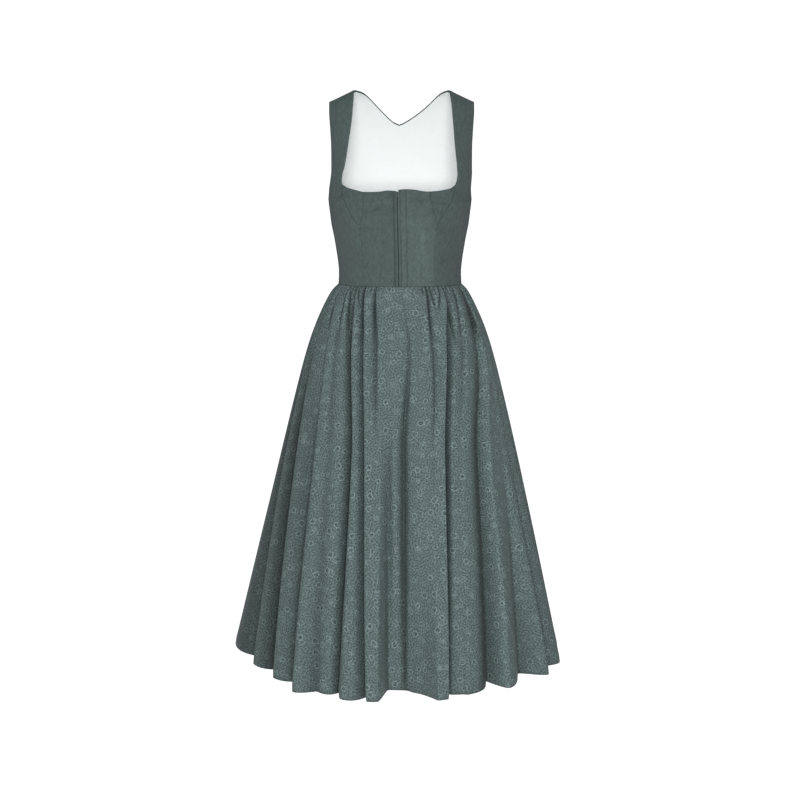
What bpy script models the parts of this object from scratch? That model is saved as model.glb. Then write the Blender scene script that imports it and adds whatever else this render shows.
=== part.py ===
"""Dirndl dress, sleeveless, with a fitted seamed bodice and a full gathered skirt.

The dress keeps the hollow form it has when worn.  The row frame is in metres:
+Z up, the front faces -Y, and the origin lies midway between the shoulder straps,
level with their undersides on the shoulder line.

Angles go round the body in degrees: 0 at the front, +90 at +X (the wearer's left),
180 at the back.  A level is a height before the slope of the shoulders is taken off.
"""
from collections import namedtuple

import bpy
import numpy as np

COLLECTION = "dirndl_dress"

# ---------------------------------------------------------------- driving dimensions
WAIST_LEVEL = -0.3890       # seam between bodice and skirt
RIDGE_LEVEL = 0.0020        # outer face of a strap at its inner end
BUST_LEVEL = -0.2675        # bust points, where the gores end
SHOULDER_SLOPE = 0.47       # fall of the shoulder for each metre outwards
SHOULDER_INNER = 0.094      # half the width between the straps
SHOULDER_SHIFT = 0.0033     # the shoulders sit a little to the wearer's left
BODICE_WALL = 0.0018
LINING_WALL = 0.0010
LINING_REVEAL = 0.0030      # width of the bodice cloth that shows past the lining
LINING_TOP = -0.010         # the lining ends a little below the shoulder seam
SKIRT_WALL = 0.0015
SEAM_GAP = 0.0003
GORE_GAP = 0.0008           # wider, because the gores' edges are curved
LINING_GAP = 0.0012         # between the linings, inside the curve of the shell
SHOULDER_GAP = 0.0010       # wider, because the walls lean together over the shoulder
FRONT_EDGE_GAP = 0.0024     # between the two front edges
NECKLINE_LEVEL = -0.1950    # top of the centre front
TAPE_HALF_WIDTH = 0.011
TAPE_SHORT = 0.004          # the tape ends this far inside the bodice at top and bottom
TAPE_WALL = 0.0010
TAPE_ROWS, TAPE_COLUMNS = 9, 5
HEM_DROP_SIDE = 0.7475      # waist seam to hem
HEM_DROP_FRONT = 0.7640
HEM_DROP_BACK = 0.7540
WAIST_RISE_FRONT = 0.0020   # the waist seam is this much higher at the centre front

# ---------------------------------------------------------------- bodice sections
# one row for each level of the body, from the waist to the shoulder ridge
Section = namedtuple("Section", "level half_width front back squareness")
BODICE = (
    Section(-0.3890, 0.1256, 0.0970, 0.0930, 0.92),
    Section(-0.3655, 0.1247, 0.0985, 0.0925, 0.92),
    Section(-0.3410, 0.1267, 0.1015, 0.0925, 0.90),
    Section(-0.3165, 0.1303, 0.1065, 0.0940, 0.88),
    Section(-0.2925, 0.1343, 0.1125, 0.0970, 0.86),
    Section(-0.2675, 0.1393, 0.1175, 0.1005, 0.84),
    Section(-0.2435, 0.1423, 0.1195, 0.1040, 0.82),
    Section(-0.2195, 0.1450, 0.1180, 0.1065, 0.82),
    Section(-0.1975, 0.1455, 0.1110, 0.1085, 0.82),
    Section(-0.1675, 0.1458, 0.0990, 0.1090, 0.82),
    Section(-0.1275, 0.1460, 0.0850, 0.1030, 0.82),
    Section(-0.0875, 0.1468, 0.0700, 0.0900, 0.82),
    Section(-0.0475, 0.1478, 0.0520, 0.0680, 0.82),
    Section(-0.0225, 0.1485, 0.0385, 0.0480, 0.82),
    Section(-0.0080, 0.1485, 0.0250, 0.0310, 0.82),
    Section(-0.0010, 0.1485, 0.0130, 0.0160, 0.82),
    Section(RIDGE_LEVEL, 0.1485, 0.0, 0.0, 0.82),
)

# ---------------------------------------------------------------- seam and edge lines
# each line is a table of the angle it runs at, level by level
Line = namedtuple("Line", "level angle")
CENTRE_FRONT = (Line(-0.389, -0.85), Line(-0.197, -1.0))
WAIST_SEAM_LEFT = (Line(-0.389, 33.4), Line(-0.335, 30.0), Line(-0.295, 28.8), Line(-0.2675, 28.0))
WAIST_SEAM_RIGHT = (Line(-0.389, -37.0), Line(-0.315, -33.5), Line(-0.2675, -31.0))
BUST_SEAM_LEFT = (
    Line(-0.2675, 28.0), Line(-0.250, 31.0), Line(-0.234, 35.6), Line(-0.220, 40.6), Line(-0.209, 43.2),
    Line(-0.184, 45.3))
BUST_SEAM_RIGHT = (
    Line(-0.2675, -31.0), Line(-0.256, -35.8), Line(-0.244, -39.5), Line(-0.230, -43.0), Line(-0.217, -46.5),
    Line(-0.205, -49.2), Line(-0.184, -50.8))
GORE_SEAM_LEFT = (
    Line(-0.2675, 28.0), Line(-0.247, 24.8), Line(-0.228, 21.8), Line(-0.212, 20.0), Line(-0.195, 19.8))
GORE_SEAM_RIGHT = (Line(-0.2675, -31.0), Line(-0.250, -28.2), Line(-0.226, -25.8), Line(-0.195, -25.5))
STRAP_INNER_LEFT = (
    Line(-0.184, 45.3), Line(-0.1785, 46.2), Line(-0.1685, 46.5), Line(-0.1495, 45.8),
    Line(-0.1255, 44.2), Line(-0.1015, 42.6), Line(-0.0545, 40.0), Line(-0.0195, 38.0), Line(0.002, 36.2))
STRAP_INNER_RIGHT = (
    Line(-0.184, -50.8), Line(-0.1785, -51.6), Line(-0.1685, -51.6), Line(-0.1495, -48.2),
    Line(-0.1255, -45.2), Line(-0.1015, -42.7), Line(-0.0545, -38.4), Line(-0.0195, -36.6), Line(0.002, -36.2))
ARMHOLE_FRONT = (
    Line(-0.389, 90.0), Line(-0.2195, 90.0), Line(-0.2177, 86.5), Line(-0.2094, 81.0), Line(-0.2000, 78.6),
    Line(-0.1775, 76.0), Line(-0.1475, 74.5), Line(-0.1075, 74.5), Line(-0.0675, 76.5), Line(-0.0275, 79.0), Line(0.002, 80.0))
ARMHOLE_BACK = (
    Line(-0.389, 90.0), Line(-0.2195, 90.0), Line(-0.2177, 94.0), Line(-0.2094, 100.5), Line(-0.2000, 103.8),
    Line(-0.1775, 107.8), Line(-0.1480, 110.4))
BACK_SEAM = (
    Line(-0.389, 148.0), Line(-0.330, 146.0), Line(-0.270, 141.0), Line(-0.220, 133.0),
    Line(-0.180, 124.5), Line(-0.148, 112.4))
BACK_ARM_EDGE = (
    Line(-0.148, 112.4), Line(-0.1075, 111.2), Line(-0.0675, 108.5), Line(-0.0275, 103.5), Line(0.002, 100.0))
BACK_NECK_LEFT = (
    Line(-0.389, 179.2), Line(-0.0685, 179.2), Line(-0.0640, 176.6), Line(-0.0505, 172.2), Line(-0.0385, 166.8),
    Line(-0.0255, 161.2), Line(-0.0120, 156.0), Line(-0.0025, 150.5), Line(0.002, 143.8))
BACK_NECK_RIGHT = (
    Line(-0.389, 179.2), Line(-0.0685, 179.2), Line(-0.0620, 183.0), Line(-0.0505, 187.5), Line(-0.0255, 196.2),
    Line(-0.0120, 202.0), Line(-0.0025, 207.8), Line(0.002, 216.2))
# the front neckline gives a level for each angle
NECKLINE = (
    Line(-0.1850, -49.6), Line(-0.1915, -41.0), Line(-0.1955, -32.2), Line(-0.1985, -24.8), Line(-0.1985, -17.8),
    Line(-0.1975, -11.8), Line(-0.1955, -6.2), Line(-0.1965, -1.1), Line(-0.1937, -0.9), Line(-0.1930, 3.0),
    Line(-0.1940, 8.0), Line(-0.1965, 13.0), Line(-0.1975, 17.8), Line(-0.1970, 24.8), Line(-0.1950, 32.2),
    Line(-0.1925, 38.8), Line(-0.1850, 45.0))

NECK_BOTTOM_LEVEL = -0.0685     # point of the back neckline's V

# mesh rows and columns of the panels
CENTRE_COLUMNS, GORE_COLUMNS, SIDE_FRONT_COLUMNS, SIDE_BACK_COLUMNS, BACK_COLUMNS = 7, 5, 8, 6, 8
LOWER_LEVELS = (-0.389, -0.362, -0.330, -0.298)
UPPER_SHARES = (0.0, 0.2, 0.4, 0.6, 0.7, 0.8, 1.0)
GORE_SHARES = (0.04, 0.2, 0.4, 0.6, 0.7, 0.8, 1.0)       # a gore's point stops just above the bust point
WALL_LEVELS = (-0.389, -0.362, -0.330, -0.298, -0.2675, -0.2509, -0.2343, -0.2177, -0.2094, -0.2011, -0.185,
               -0.1785, -0.1665, -0.148, -0.120, -0.092, -0.0718, -0.0685, -0.062, -0.044, -0.025,
               -0.0110, -0.0025, 0.0007, 0.0017, RIDGE_LEVEL)

# ---------------------------------------------------------------- skirt sections
# one row for each drop below the waist seam
Hang = namedtuple("Hang", "drop half_width front back")
SKIRT = (
    Hang(0.000, 0.1256, 0.0970, 0.0930),
    Hang(0.012, 0.1375, 0.1010, 0.1030),
    Hang(0.033, 0.1500, 0.1085, 0.1150),
    Hang(0.083, 0.1725, 0.1290, 0.1380),
    Hang(0.132, 0.1890, 0.1500, 0.1570),
    Hang(0.207, 0.2090, 0.1810, 0.1840),
    Hang(0.460, 0.2690, 0.2740, 0.2610),
    Hang(0.760, 0.3380, 0.3870, 0.3520),
)

# ---------------------------------------------------------------- folds of the skirt
# Each row is one valley of the cloth, in order round the body, and the crest that
# follows it.  waist, knee, mid, hem: the valley's angle at FOLD_LEVELS of the drop.
# knee_in, mid_in, hem_in: how far the valley lies inside (-) the section there, in mm.
# crest_at: the crest's place between this valley and the next, from 0 to 1.
# mid_out, hem_out: how far the crest lies outside the section, in mm.
# crease: 0 for a soft valley, 1 for a sharp one.  tucks: small gathers on the crest.
Fold = namedtuple(
    "Fold", "waist knee mid hem knee_in mid_in hem_in crest_at mid_out hem_out crease tucks")
FOLD_LEVELS = (0.0, 0.14, 0.42, 1.0)
FOLDS = (
    Fold(-90, -90, -91, -92, -4, -14, -26, 0.30, 3, 10, 0.5, 0),
    Fold(-83, -80, -79, -73, -9, -27, -45, 0.37, 3, -3, 0.8, 0),
    Fold(-73, -70, -67.6, -54, -8, -36, -58, 0.40, 4, 0, 0.7, 1),
    Fold(-64, -53, -47, -38.5, -1, -26, -46, 0.50, 7, 25, 0.6, 0),
    Fold(-55, -45.9, -37.7, -30.8, -8, -6, -12, 0.50, 6, -4, 0.4, 1),
    Fold(-40, -35, -25.9, -22.5, -16, -31, -24, 0.50, 4, 9, 0.6, 2),
    Fold(-31, -26.2, -19.2, -12.5, -14, -23, -30, 0.45, 2, 5, 0.9, 1),
    Fold(-22, -17.4, -12.3, -8.8, -13, -2, 3, 0.40, 1, 0, 0.4, 0),
    Fold(-8, -8.5, -5.9, -4.7, 0, -10, -76, 0.38, -4, -77, 0.0, 0),
    Fold(0, 4.7, 1.4, 1.8, -10, -32, -76, 0.50, -8, -60, 0.8, 0),
    Fold(15.5, 13.5, 11, 8.5, -2, -2, -42, 0.50, 0, -22, 0.2, 0),
    Fold(22, 22.6, 16.7, 12.8, -16, -4, 0, 0.40, 2, -1, 0.4, 2),
    Fold(44, 37, 25.4, 18, -21, -38, -34, 0.50, -2, -22, 1.0, 0),
    Fold(52, 45.5, 29.8, 22, -12, -4, -16, 0.22, 2, -9, 0.3, 1),
    Fold(66, 65.1, 44.4, 31.9, -20, -32, -54, 0.27, 6, 12, 0.6, 0),
    Fold(74, 68.6, 55.4, 44.5, -5, -18, -32, 0.58, 6, 27, 0.2, 0),
    Fold(81, 76, 66, 56.5, -5, -16, -20, 0.50, 3, 19, 0.4, 0),
    Fold(86, 84, 80, 73, -6, -18, -36, 0.30, 0, -3, 0.4, 0),
    Fold(91, 91, 91, 91, -6, -16, -36, 0.50, 0, -10, 0.5, 0),
    Fold(100, 101, 104, 105, -10, -28, -52, 0.45, 4, 6, 0.6, 1),
    Fold(112, 113, 115, 117, -7, -12, -26, 0.55, 3, 6, 0.2, 1),
    Fold(123, 125, 128, 131, -12, -32, -56, 0.45, 5, 15, 0.7, 1),
    Fold(136, 138, 140, 143, -6, -14, -34, 0.50, 2, 4, 0.3, 1),
    Fold(149, 150, 152, 154, -10, -29, -50, 0.40, 6, 18, 0.5, 1),
    Fold(162, 163, 165, 168, -7, -10, -22, 0.60, 4, 9, 0.1, 1),
    Fold(175, 176, 177, 180, -12, -33, -60, 0.45, 4, 12, 0.6, 1),
    Fold(189, 190, 191, 192, -6, -16, -30, 0.50, 3, 2, 0.3, 1),
    Fold(202, 203, 205, 207, -10, -28, -55, 0.55, 6, 16, 0.5, 1),
    Fold(215, 216, 218, 220, -7, -11, -24, 0.45, 3, 8, 0.2, 1),
    Fold(229, 230, 231, 232, -12, -32, -57, 0.50, 4, 14, 0.7, 1),
    Fold(242, 243, 244, 245, -6, -15, -32, 0.50, 2, 3, 0.2, 1),
    Fold(255, 256, 256, 257, -9, -26, -48, 0.45, 3, 6, 0.4, 1),
)
SIDE_SEAM_LEFT = 18         # the fold at each side seam
SIDE_SEAM_RIGHT = 0
WAIST_IN = -2.5             # mm, depth of every gather in the waist seam
TUCK_DEPTH = 0.0030         # half the height of a small gather
TUCK_REACH = 0.085          # share of the drop over which small gathers fade
SKIRT_ROWS = (0.0, 0.014, 0.035, 0.07, 0.115, 0.17, 0.24, 0.34, 0.48, 0.70, 1.0)
COLUMNS_PLAIN = 6           # mesh columns between two valleys
COLUMNS_TUCK = 4            # mesh columns for each small gather

# ---------------------------------------------------------------- finishes
Finish = namedtuple("Finish", "colour roughness")
TWILL = Finish((0.084, 0.112, 0.107, 1.0), 0.85)
PRINT = Finish((0.117, 0.158, 0.156, 1.0), 0.80)
LINING = Finish((0.86, 0.89, 0.88, 1.0), 0.70)
TAPE = Finish((0.020, 0.030, 0.028, 1.0), 0.60)


def smooth(x, xs, ys):
    """Read a table at x, on a cubic through its rows that doesn't overshoot them."""
    xs = np.asarray(xs, float)
    ys = np.asarray(ys, float)
    slope = np.diff(ys) / np.diff(xs)
    before, after = slope[:-1], slope[1:]
    same_sign = before * after > 0
    total = np.where(same_sign, before + after, 1.0)
    inner = np.where(same_sign, 2 * before * after / total, 0.0)
    tangent = np.concatenate((slope[:1], inner, slope[-1:]))
    i = np.clip(np.searchsorted(xs, x, side="right") - 1, 0, len(xs) - 2)
    width = xs[i + 1] - xs[i]
    t = np.clip((x - xs[i]) / width, 0, 1)
    return ((1 + 2 * t) * (1 - t) ** 2 * ys[i] + t * (1 - t) ** 2 * width * tangent[i]
            + t * t * (3 - 2 * t) * ys[i + 1] - t * t * (1 - t) * width * tangent[i + 1])


def column(rows, field):
    """One named column of a table."""
    return np.array([getattr(row, field) for row in rows], float)


def angle_at(path, level):
    """Angle at a level of a path, which is one or more lines that follow each other upwards."""
    level = np.asarray(level, float)
    angle = np.zeros(level.shape)
    for number, line in enumerate(path):
        there = smooth(level, column(line, "level"), column(line, "angle"))
        angle = there if number == 0 else np.where(level > line[0].level, there, angle)
    return angle


def bodice_point(angle, level):
    """Outer face of the bodice: superellipse sections, lowered along the shoulders."""
    angle = np.radians(np.asarray(angle, float))
    level = np.asarray(level, float)
    levels = column(BODICE, "level")
    half_width = smooth(level, levels, column(BODICE, "half_width"))
    power = smooth(level, levels, column(BODICE, "squareness"))
    front, back = (  # squares are read, so that the shoulders are round on top
        np.sqrt(smooth(level, levels, column(BODICE, name) ** 2)) for name in ("front", "back"))
    sine, cosine = np.sin(angle), np.cos(angle)
    across = half_width * np.sign(sine) * np.abs(sine) ** power
    depth = np.where(cosine > 0, front, back)
    y = -depth * np.sign(cosine) * np.abs(cosine) ** power
    near_shoulder = np.clip((level + 0.1375) / 0.13, 0, 1) ** 1.5
    fall = SHOULDER_SLOPE * near_shoulder * np.clip(np.abs(across) - SHOULDER_INNER, 0, None)
    near_waist = np.clip((level + 0.30) / (WAIST_LEVEL + 0.30), 0, 1)
    rise = WAIST_RISE_FRONT * near_waist * np.clip(cosine, 0, 1)
    shift = SHOULDER_SHIFT * np.clip((level + 0.195) / 0.03, 0, 1)
    return np.stack((across + shift, y, level - fall + rise), axis=-1)


def skirt_point(fold, share):
    """Outer face of the skirt.

    fold counts the valleys round the body, with a crest halfway between two of them,
    and share runs from 0 at the waist seam to 1 at the hem.  Ellipses set the section
    at each drop, and the table of folds moves the cloth in and out along the radius.
    """
    fold, share = np.broadcast_arrays(np.asarray(fold, float), np.asarray(share, float))
    rows = share[:, 0]
    knots = np.array(FOLD_LEVELS)

    def read(*fields, factor=0.001):
        """Each fold's value at every row, as an array of folds by rows."""
        values = [[getattr(f, x) if isinstance(x, str) else x for x in fields] for f in FOLDS]
        return np.array([smooth(rows, knots, np.array(v, float) * factor) for v in values])

    angle = read("waist", "knee", "mid", "hem", factor=1.0)
    angle = np.vstack((angle, angle[:1] + 360.0))
    valley = read(WAIST_IN, "knee_in", "mid_in", "hem_in")
    valley = np.vstack((valley, valley[:1]))
    halfway = {f: 0.5 * f.mid_out for f in FOLDS}
    crest = np.array([
        smooth(rows, knots, np.array((0, halfway[f], f.mid_out, f.hem_out), float) * 0.001) for f in FOLDS])

    k = np.clip(np.floor(fold[0]).astype(int), 0, len(FOLDS) - 1)
    part = fold[0] - k
    crest_at = column(FOLDS, "crest_at")[k]
    crease = column(FOLDS, "crease")
    crease = np.append(crease, crease[0])
    falling = part > 0.5
    near = np.where(falling, 2 * (1 - part), 2 * part)      # 0 in a valley, 1 on the crest
    sharp = np.where(falling, crease[k + 1], crease[k])
    rise = (1 - sharp) * (1 - np.cos(np.pi * near)) / 2 + sharp * np.sin(np.pi * near / 2)
    along = np.where(falling, 1 - (1 - crest_at) * near, crest_at * near)

    turn = (angle[k] * (1 - along)[:, None] + angle[k + 1] * along[:, None]).T
    floor = np.where(falling[:, None], valley[k + 1], valley[k]).T
    offset = floor + (crest[k].T - floor) * rise
    gathers = column(FOLDS, "tucks")[k] + 1
    depth = TUCK_DEPTH * (gathers > 1)
    swell = np.clip(0.4 + share / 0.02, 0, 1) * np.exp(-(share / TUCK_REACH) ** 2)
    offset = offset - depth * np.cos(2 * np.pi * gathers * part) * swell

    turn = np.radians(turn)
    sine, cosine = np.sin(turn), np.cos(turn)
    in_front, behind = np.clip(cosine, 0, 1) ** 2, np.clip(-cosine, 0, 1) ** 2
    length = (HEM_DROP_SIDE + (HEM_DROP_FRONT - HEM_DROP_SIDE) * in_front
              + (HEM_DROP_BACK - HEM_DROP_SIDE) * behind)
    drop = share * length
    drops = column(SKIRT, "drop")
    half_width, front, back = (smooth(drop, drops, column(SKIRT, n)) for n in ("half_width", "front", "back"))
    power = BODICE[0].squareness + (1 - BODICE[0].squareness) * np.clip(drop / 0.08, 0, 1)
    x = half_width * np.sign(sine) * np.abs(sine) ** power
    y = -np.where(cosine > 0, front, back) * np.sign(cosine) * np.abs(cosine) ** power
    grow = 1 + offset / np.hypot(x, y)
    z = WAIST_LEVEL - SEAM_GAP + WAIST_RISE_FRONT * np.clip(cosine, 0, 1) * (1 - share) - drop
    return np.stack((x * grow, y * grow, z), axis=-1)


def fold_columns(first, last):
    """Mesh columns from one valley to another, more of them where there are tucks."""
    columns = []
    for k in range(first, last):
        count = COLUMNS_TUCK * (FOLDS[k].tucks + 1) if FOLDS[k].tucks else COLUMNS_PLAIN
        columns.extend(k + np.arange(count) / count)
    return np.array(columns + [last])


def moved_in(points, distance):
    """A grid of points moved inwards along its normals."""
    up, across = np.gradient(points, axis=0), np.gradient(points, axis=1)
    normal = np.cross(across, up)
    return points - distance * normal / np.linalg.norm(normal, axis=2, keepdims=True)


def clear_seams(points, first=SEAM_GAP, last=SEAM_GAP):
    """Draw a panel's first and last columns in by half a gap each."""
    points = points.copy()
    for edge, inner, gap in ((0, 1, first), (-1, -2, last)):
        step = points[:, inner] - points[:, edge]
        points[:, edge] += step * (0.5 * gap / np.linalg.norm(step, axis=1, keepdims=True))
    return points


def cloth(name, points, wall, finish):
    """A panel: a grid of outer points, given its thickness inwards."""
    rows, columns = points.shape[:2]
    index = np.arange(rows * columns).reshape(rows, columns)
    corners = (index[:-1, :-1], index[:-1, 1:], index[1:, 1:], index[1:, :-1])
    faces = np.stack(corners, axis=-1).reshape(-1, 4)
    mesh = bpy.data.meshes.new(name)
    mesh.from_pydata(points.reshape(-1, 3).tolist(), [], faces.tolist())
    mesh.shade_smooth()
    mesh.materials.append(material(name, finish))
    panel = bpy.data.objects.new(name, mesh)
    bpy.data.collections[COLLECTION].objects.link(panel)
    thickness = panel.modifiers.new("wall", "SOLIDIFY")
    thickness.thickness = wall
    thickness.offset = -1.0
    return panel


def material(name, finish):
    """A plain Principled material."""
    made = bpy.data.materials.new(name)
    made.use_nodes = True
    shader = made.node_tree.nodes["Principled BSDF"]
    shader.inputs["Base Color"].default_value = finish.colour
    shader.inputs["Roughness"].default_value = finish.roughness
    shader.inputs["Metallic"].default_value = 0.0
    made.diffuse_color = finish.colour
    return made


def between(start, end, count):
    """Rows of angles from one line to another, spread evenly."""
    share = np.linspace(0, 1, count)
    return start[:, None] * (1 - share) + end[:, None] * share


def strip(inner, outer, levels, count):
    """Points of a panel that runs up between two lines, its columns in rising angle."""
    levels = np.asarray(levels, float)
    angles = between(angle_at(inner, levels), angle_at(outer, levels), count)
    if angles[0, 0] > angles[0, -1]:
        angles = angles[:, ::-1]
    return bodice_point(angles, levels[:, None])


def under_neckline(inner, outer, shares, low_levels, count):
    """Points of a panel whose top edge follows the front neckline.

    low_levels are rows below the bust, and shares are those from there to the neckline.
    """
    top_angles = between(angle_at(inner, [-0.195]), angle_at(outer, [-0.195]), count)[0]
    top = smooth(top_angles, column(NECKLINE, "angle"), column(NECKLINE, "level"))
    upper = BUST_LEVEL + (top - BUST_LEVEL)[None, :] * np.array(shares)[:, None]
    lower = np.array(low_levels)[:, None] * np.ones(count)[None, :]
    levels = np.vstack((lower, upper))
    across = np.linspace(0, 1, count)[None, :]
    angles = angle_at(inner, levels) * (1 - across) + angle_at(outer, levels) * across
    if angles[0, 0] > angles[0, -1]:
        angles, levels = angles[:, ::-1], levels[:, ::-1]
    return bodice_point(angles, levels)


def front_panels(side, waist_seam, bust_seam, gore_seam, strap_inner, armhole):
    """Centre panel, gore and side panel with its strap, of one half of the front."""
    centre = under_neckline(
        (CENTRE_FRONT,), (waist_seam, gore_seam), UPPER_SHARES, LOWER_LEVELS, CENTRE_COLUMNS)
    gaps = (FRONT_EDGE_GAP, SEAM_GAP) if side == "left" else (SEAM_GAP, FRONT_EDGE_GAP)
    cloth("front_centre_" + side, clear_seams(centre, *gaps), BODICE_WALL, TWILL)

    gore = under_neckline((gore_seam,), (bust_seam,), GORE_SHARES, (), GORE_COLUMNS)
    cloth("bust_gore_" + side, clear_seams(gore, GORE_GAP, GORE_GAP), BODICE_WALL, TWILL)

    panel = strip((waist_seam, bust_seam, strap_inner), (armhole,), WALL_LEVELS, SIDE_FRONT_COLUMNS)
    panel[..., 1] = np.minimum(panel[..., 1], -0.5 * SHOULDER_GAP)
    cloth("side_front_" + side, clear_seams(panel), BODICE_WALL, TWILL)


def back_panels(side, neck, seam, armhole, arm_edge):
    """Side back and back panels of one half of the back, with their linings."""
    levels = np.array(WALL_LEVELS)
    side_back = strip((seam,), (armhole,), levels[levels <= seam[-1].level], SIDE_BACK_COLUMNS)
    cloth("side_back_" + side, clear_seams(side_back), BODICE_WALL, TWILL)
    cloth("side_lining_" + side, lining(side_back), LINING_WALL, LINING)

    back = strip((neck,), (seam, arm_edge), levels, BACK_COLUMNS)
    back[..., 1] = np.maximum(back[..., 1], 0.5 * SHOULDER_GAP)
    cloth("back_" + side, clear_seams(back), BODICE_WALL, TWILL)

    kept = levels < LINING_TOP
    at_neck = levels[kept] > NECK_BOTTOM_LEVEL - LINING_REVEAL
    neck_edge = np.where(at_neck, 2 * LINING_REVEAL, SEAM_GAP)[:, None]
    gaps = (LINING_GAP, neck_edge) if side == "left" else (neck_edge, LINING_GAP)
    cloth("back_lining_" + side, lining(back[kept], *gaps), LINING_WALL, LINING)


def lining(shell, first=LINING_GAP, last=LINING_GAP):
    """Outer points of a lining: those of its shell panel, moved in behind it."""
    return moved_in(clear_seams(shell, first, last), BODICE_WALL + SEAM_GAP)


def closure_tape():
    """The closed zip's tape, behind the two front edges."""
    levels = np.linspace(WAIST_LEVEL + TAPE_SHORT, NECKLINE_LEVEL - TAPE_SHORT, TAPE_ROWS)
    centre = bodice_point(angle_at((CENTRE_FRONT,), levels), levels)
    across = np.linspace(-TAPE_HALF_WIDTH, TAPE_HALF_WIDTH, TAPE_COLUMNS)
    half_width = smooth(levels, column(BODICE, "level"), column(BODICE, "half_width"))
    power = smooth(levels, column(BODICE, "level"), column(BODICE, "squareness"))
    share = (centre[:, :1] + across[None, :]) / half_width[:, None]
    angles = np.degrees(np.arcsin(np.sign(share) * np.abs(share) ** (1 / power[:, None])))
    tape = bodice_point(angles, levels[:, None])
    cloth("closure_tape", moved_in(tape, BODICE_WALL + SEAM_GAP), TAPE_WALL, TAPE)


def skirt_panel(name, first, last):
    """One gathered width of the skirt, from one side seam to the other."""
    folds = fold_columns(first, last)
    shares = np.array(SKIRT_ROWS)[::-1]
    points = skirt_point(folds[None, :], shares[:, None])
    cloth(name, clear_seams(points), SKIRT_WALL, PRINT)


def mirrored(line, whole):
    """The same line on the other half of the body, where whole is the sum of the two angles."""
    return tuple(Line(row.level, whole - row.angle) for row in line)


def main():
    """Build the dress in an empty scene."""
    for old in list(bpy.data.objects):
        bpy.data.objects.remove(old, do_unlink=True)
    collection = bpy.data.collections.new(COLLECTION)
    bpy.context.scene.collection.children.link(collection)
    bpy.context.scene.unit_settings.system = "METRIC"

    front_panels("left", WAIST_SEAM_LEFT, BUST_SEAM_LEFT, GORE_SEAM_LEFT, STRAP_INNER_LEFT, ARMHOLE_FRONT)
    front_panels("right", WAIST_SEAM_RIGHT, BUST_SEAM_RIGHT, GORE_SEAM_RIGHT, STRAP_INNER_RIGHT,
                 mirrored(ARMHOLE_FRONT, 0.0))
    closure_tape()
    back_panels("left", BACK_NECK_LEFT, BACK_SEAM, ARMHOLE_BACK, BACK_ARM_EDGE)
    back_panels("right", BACK_NECK_RIGHT, *(mirrored(line, 360.0) for line in (
        BACK_SEAM, ARMHOLE_BACK, BACK_ARM_EDGE)))
    skirt_panel("skirt_front", SIDE_SEAM_RIGHT, SIDE_SEAM_LEFT)
    skirt_panel("skirt_back", SIDE_SEAM_LEFT, len(FOLDS))


main()
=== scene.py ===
"""Sleeveless dirndl dress with a fitted seamed bodice and a gathered print skirt.

Metres, +Z up, the front faces -Y and +X is the wearer's left.  Angles go round the body in
degrees: 0 at the front, +90 at +X, 180 at the back.  A level is a height before the fall of
the shoulders is taken off, and a drop is a depth below the waist seam.
"""
from __future__ import annotations

import sys
import logging
import math
from collections.abc import Sequence
from dataclasses import dataclass, field
from enum import Enum
from typing import Any, NamedTuple

import bpy
import numpy as np
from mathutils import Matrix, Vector


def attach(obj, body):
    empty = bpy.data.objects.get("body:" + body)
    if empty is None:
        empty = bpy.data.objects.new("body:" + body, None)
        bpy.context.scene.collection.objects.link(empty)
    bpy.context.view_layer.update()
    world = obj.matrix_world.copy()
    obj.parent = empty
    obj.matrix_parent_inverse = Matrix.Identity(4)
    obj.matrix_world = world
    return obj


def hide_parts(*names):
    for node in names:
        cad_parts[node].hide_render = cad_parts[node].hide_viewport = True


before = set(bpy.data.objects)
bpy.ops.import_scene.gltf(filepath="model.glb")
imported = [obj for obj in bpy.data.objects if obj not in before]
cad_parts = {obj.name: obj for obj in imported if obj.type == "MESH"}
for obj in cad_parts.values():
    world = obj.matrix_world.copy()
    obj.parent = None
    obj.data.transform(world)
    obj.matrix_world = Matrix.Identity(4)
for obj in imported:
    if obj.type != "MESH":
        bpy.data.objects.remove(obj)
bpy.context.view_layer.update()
log = logging.getLogger("dirndl")

Array = np.ndarray
Line = tuple[tuple[float, float], ...]
Socket = bpy.types.NodeSocket
Material = bpy.types.Material
Piece = bpy.types.Object
Triple = tuple[float, float, float]

WAIST_LEVEL = -0.3890
RIDGE_LEVEL = 0.0020
SHOULDER_LEVEL = -0.022         # where the round of the shoulder starts
BUST_LEVEL = -0.2675
NECK_CORNER_LEVEL = -0.184      # where the front neckline meets the straps
UNDERARM_LEVEL = -0.2195
ARMHOLE_LEVEL = -0.196          # up to which the armhole bends most
BACK_NECK_LEVEL = -0.0685       # point of the back neckline's V
SIDE_BACK_TOP = -0.148
BODICE_WALL = 0.0018
SEAM_GAP = 0.0003
FRONT_EDGE_GAP = 0.0024
SEWN_END = 0.0012               # height over which the sewn part of a border ends
MM = 0.001


class Section(NamedTuple):
    """One level of the body: half its width, and its depth in front and behind."""

    level: float
    half_width: float
    front: float
    back: float
    squareness: float


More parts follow.
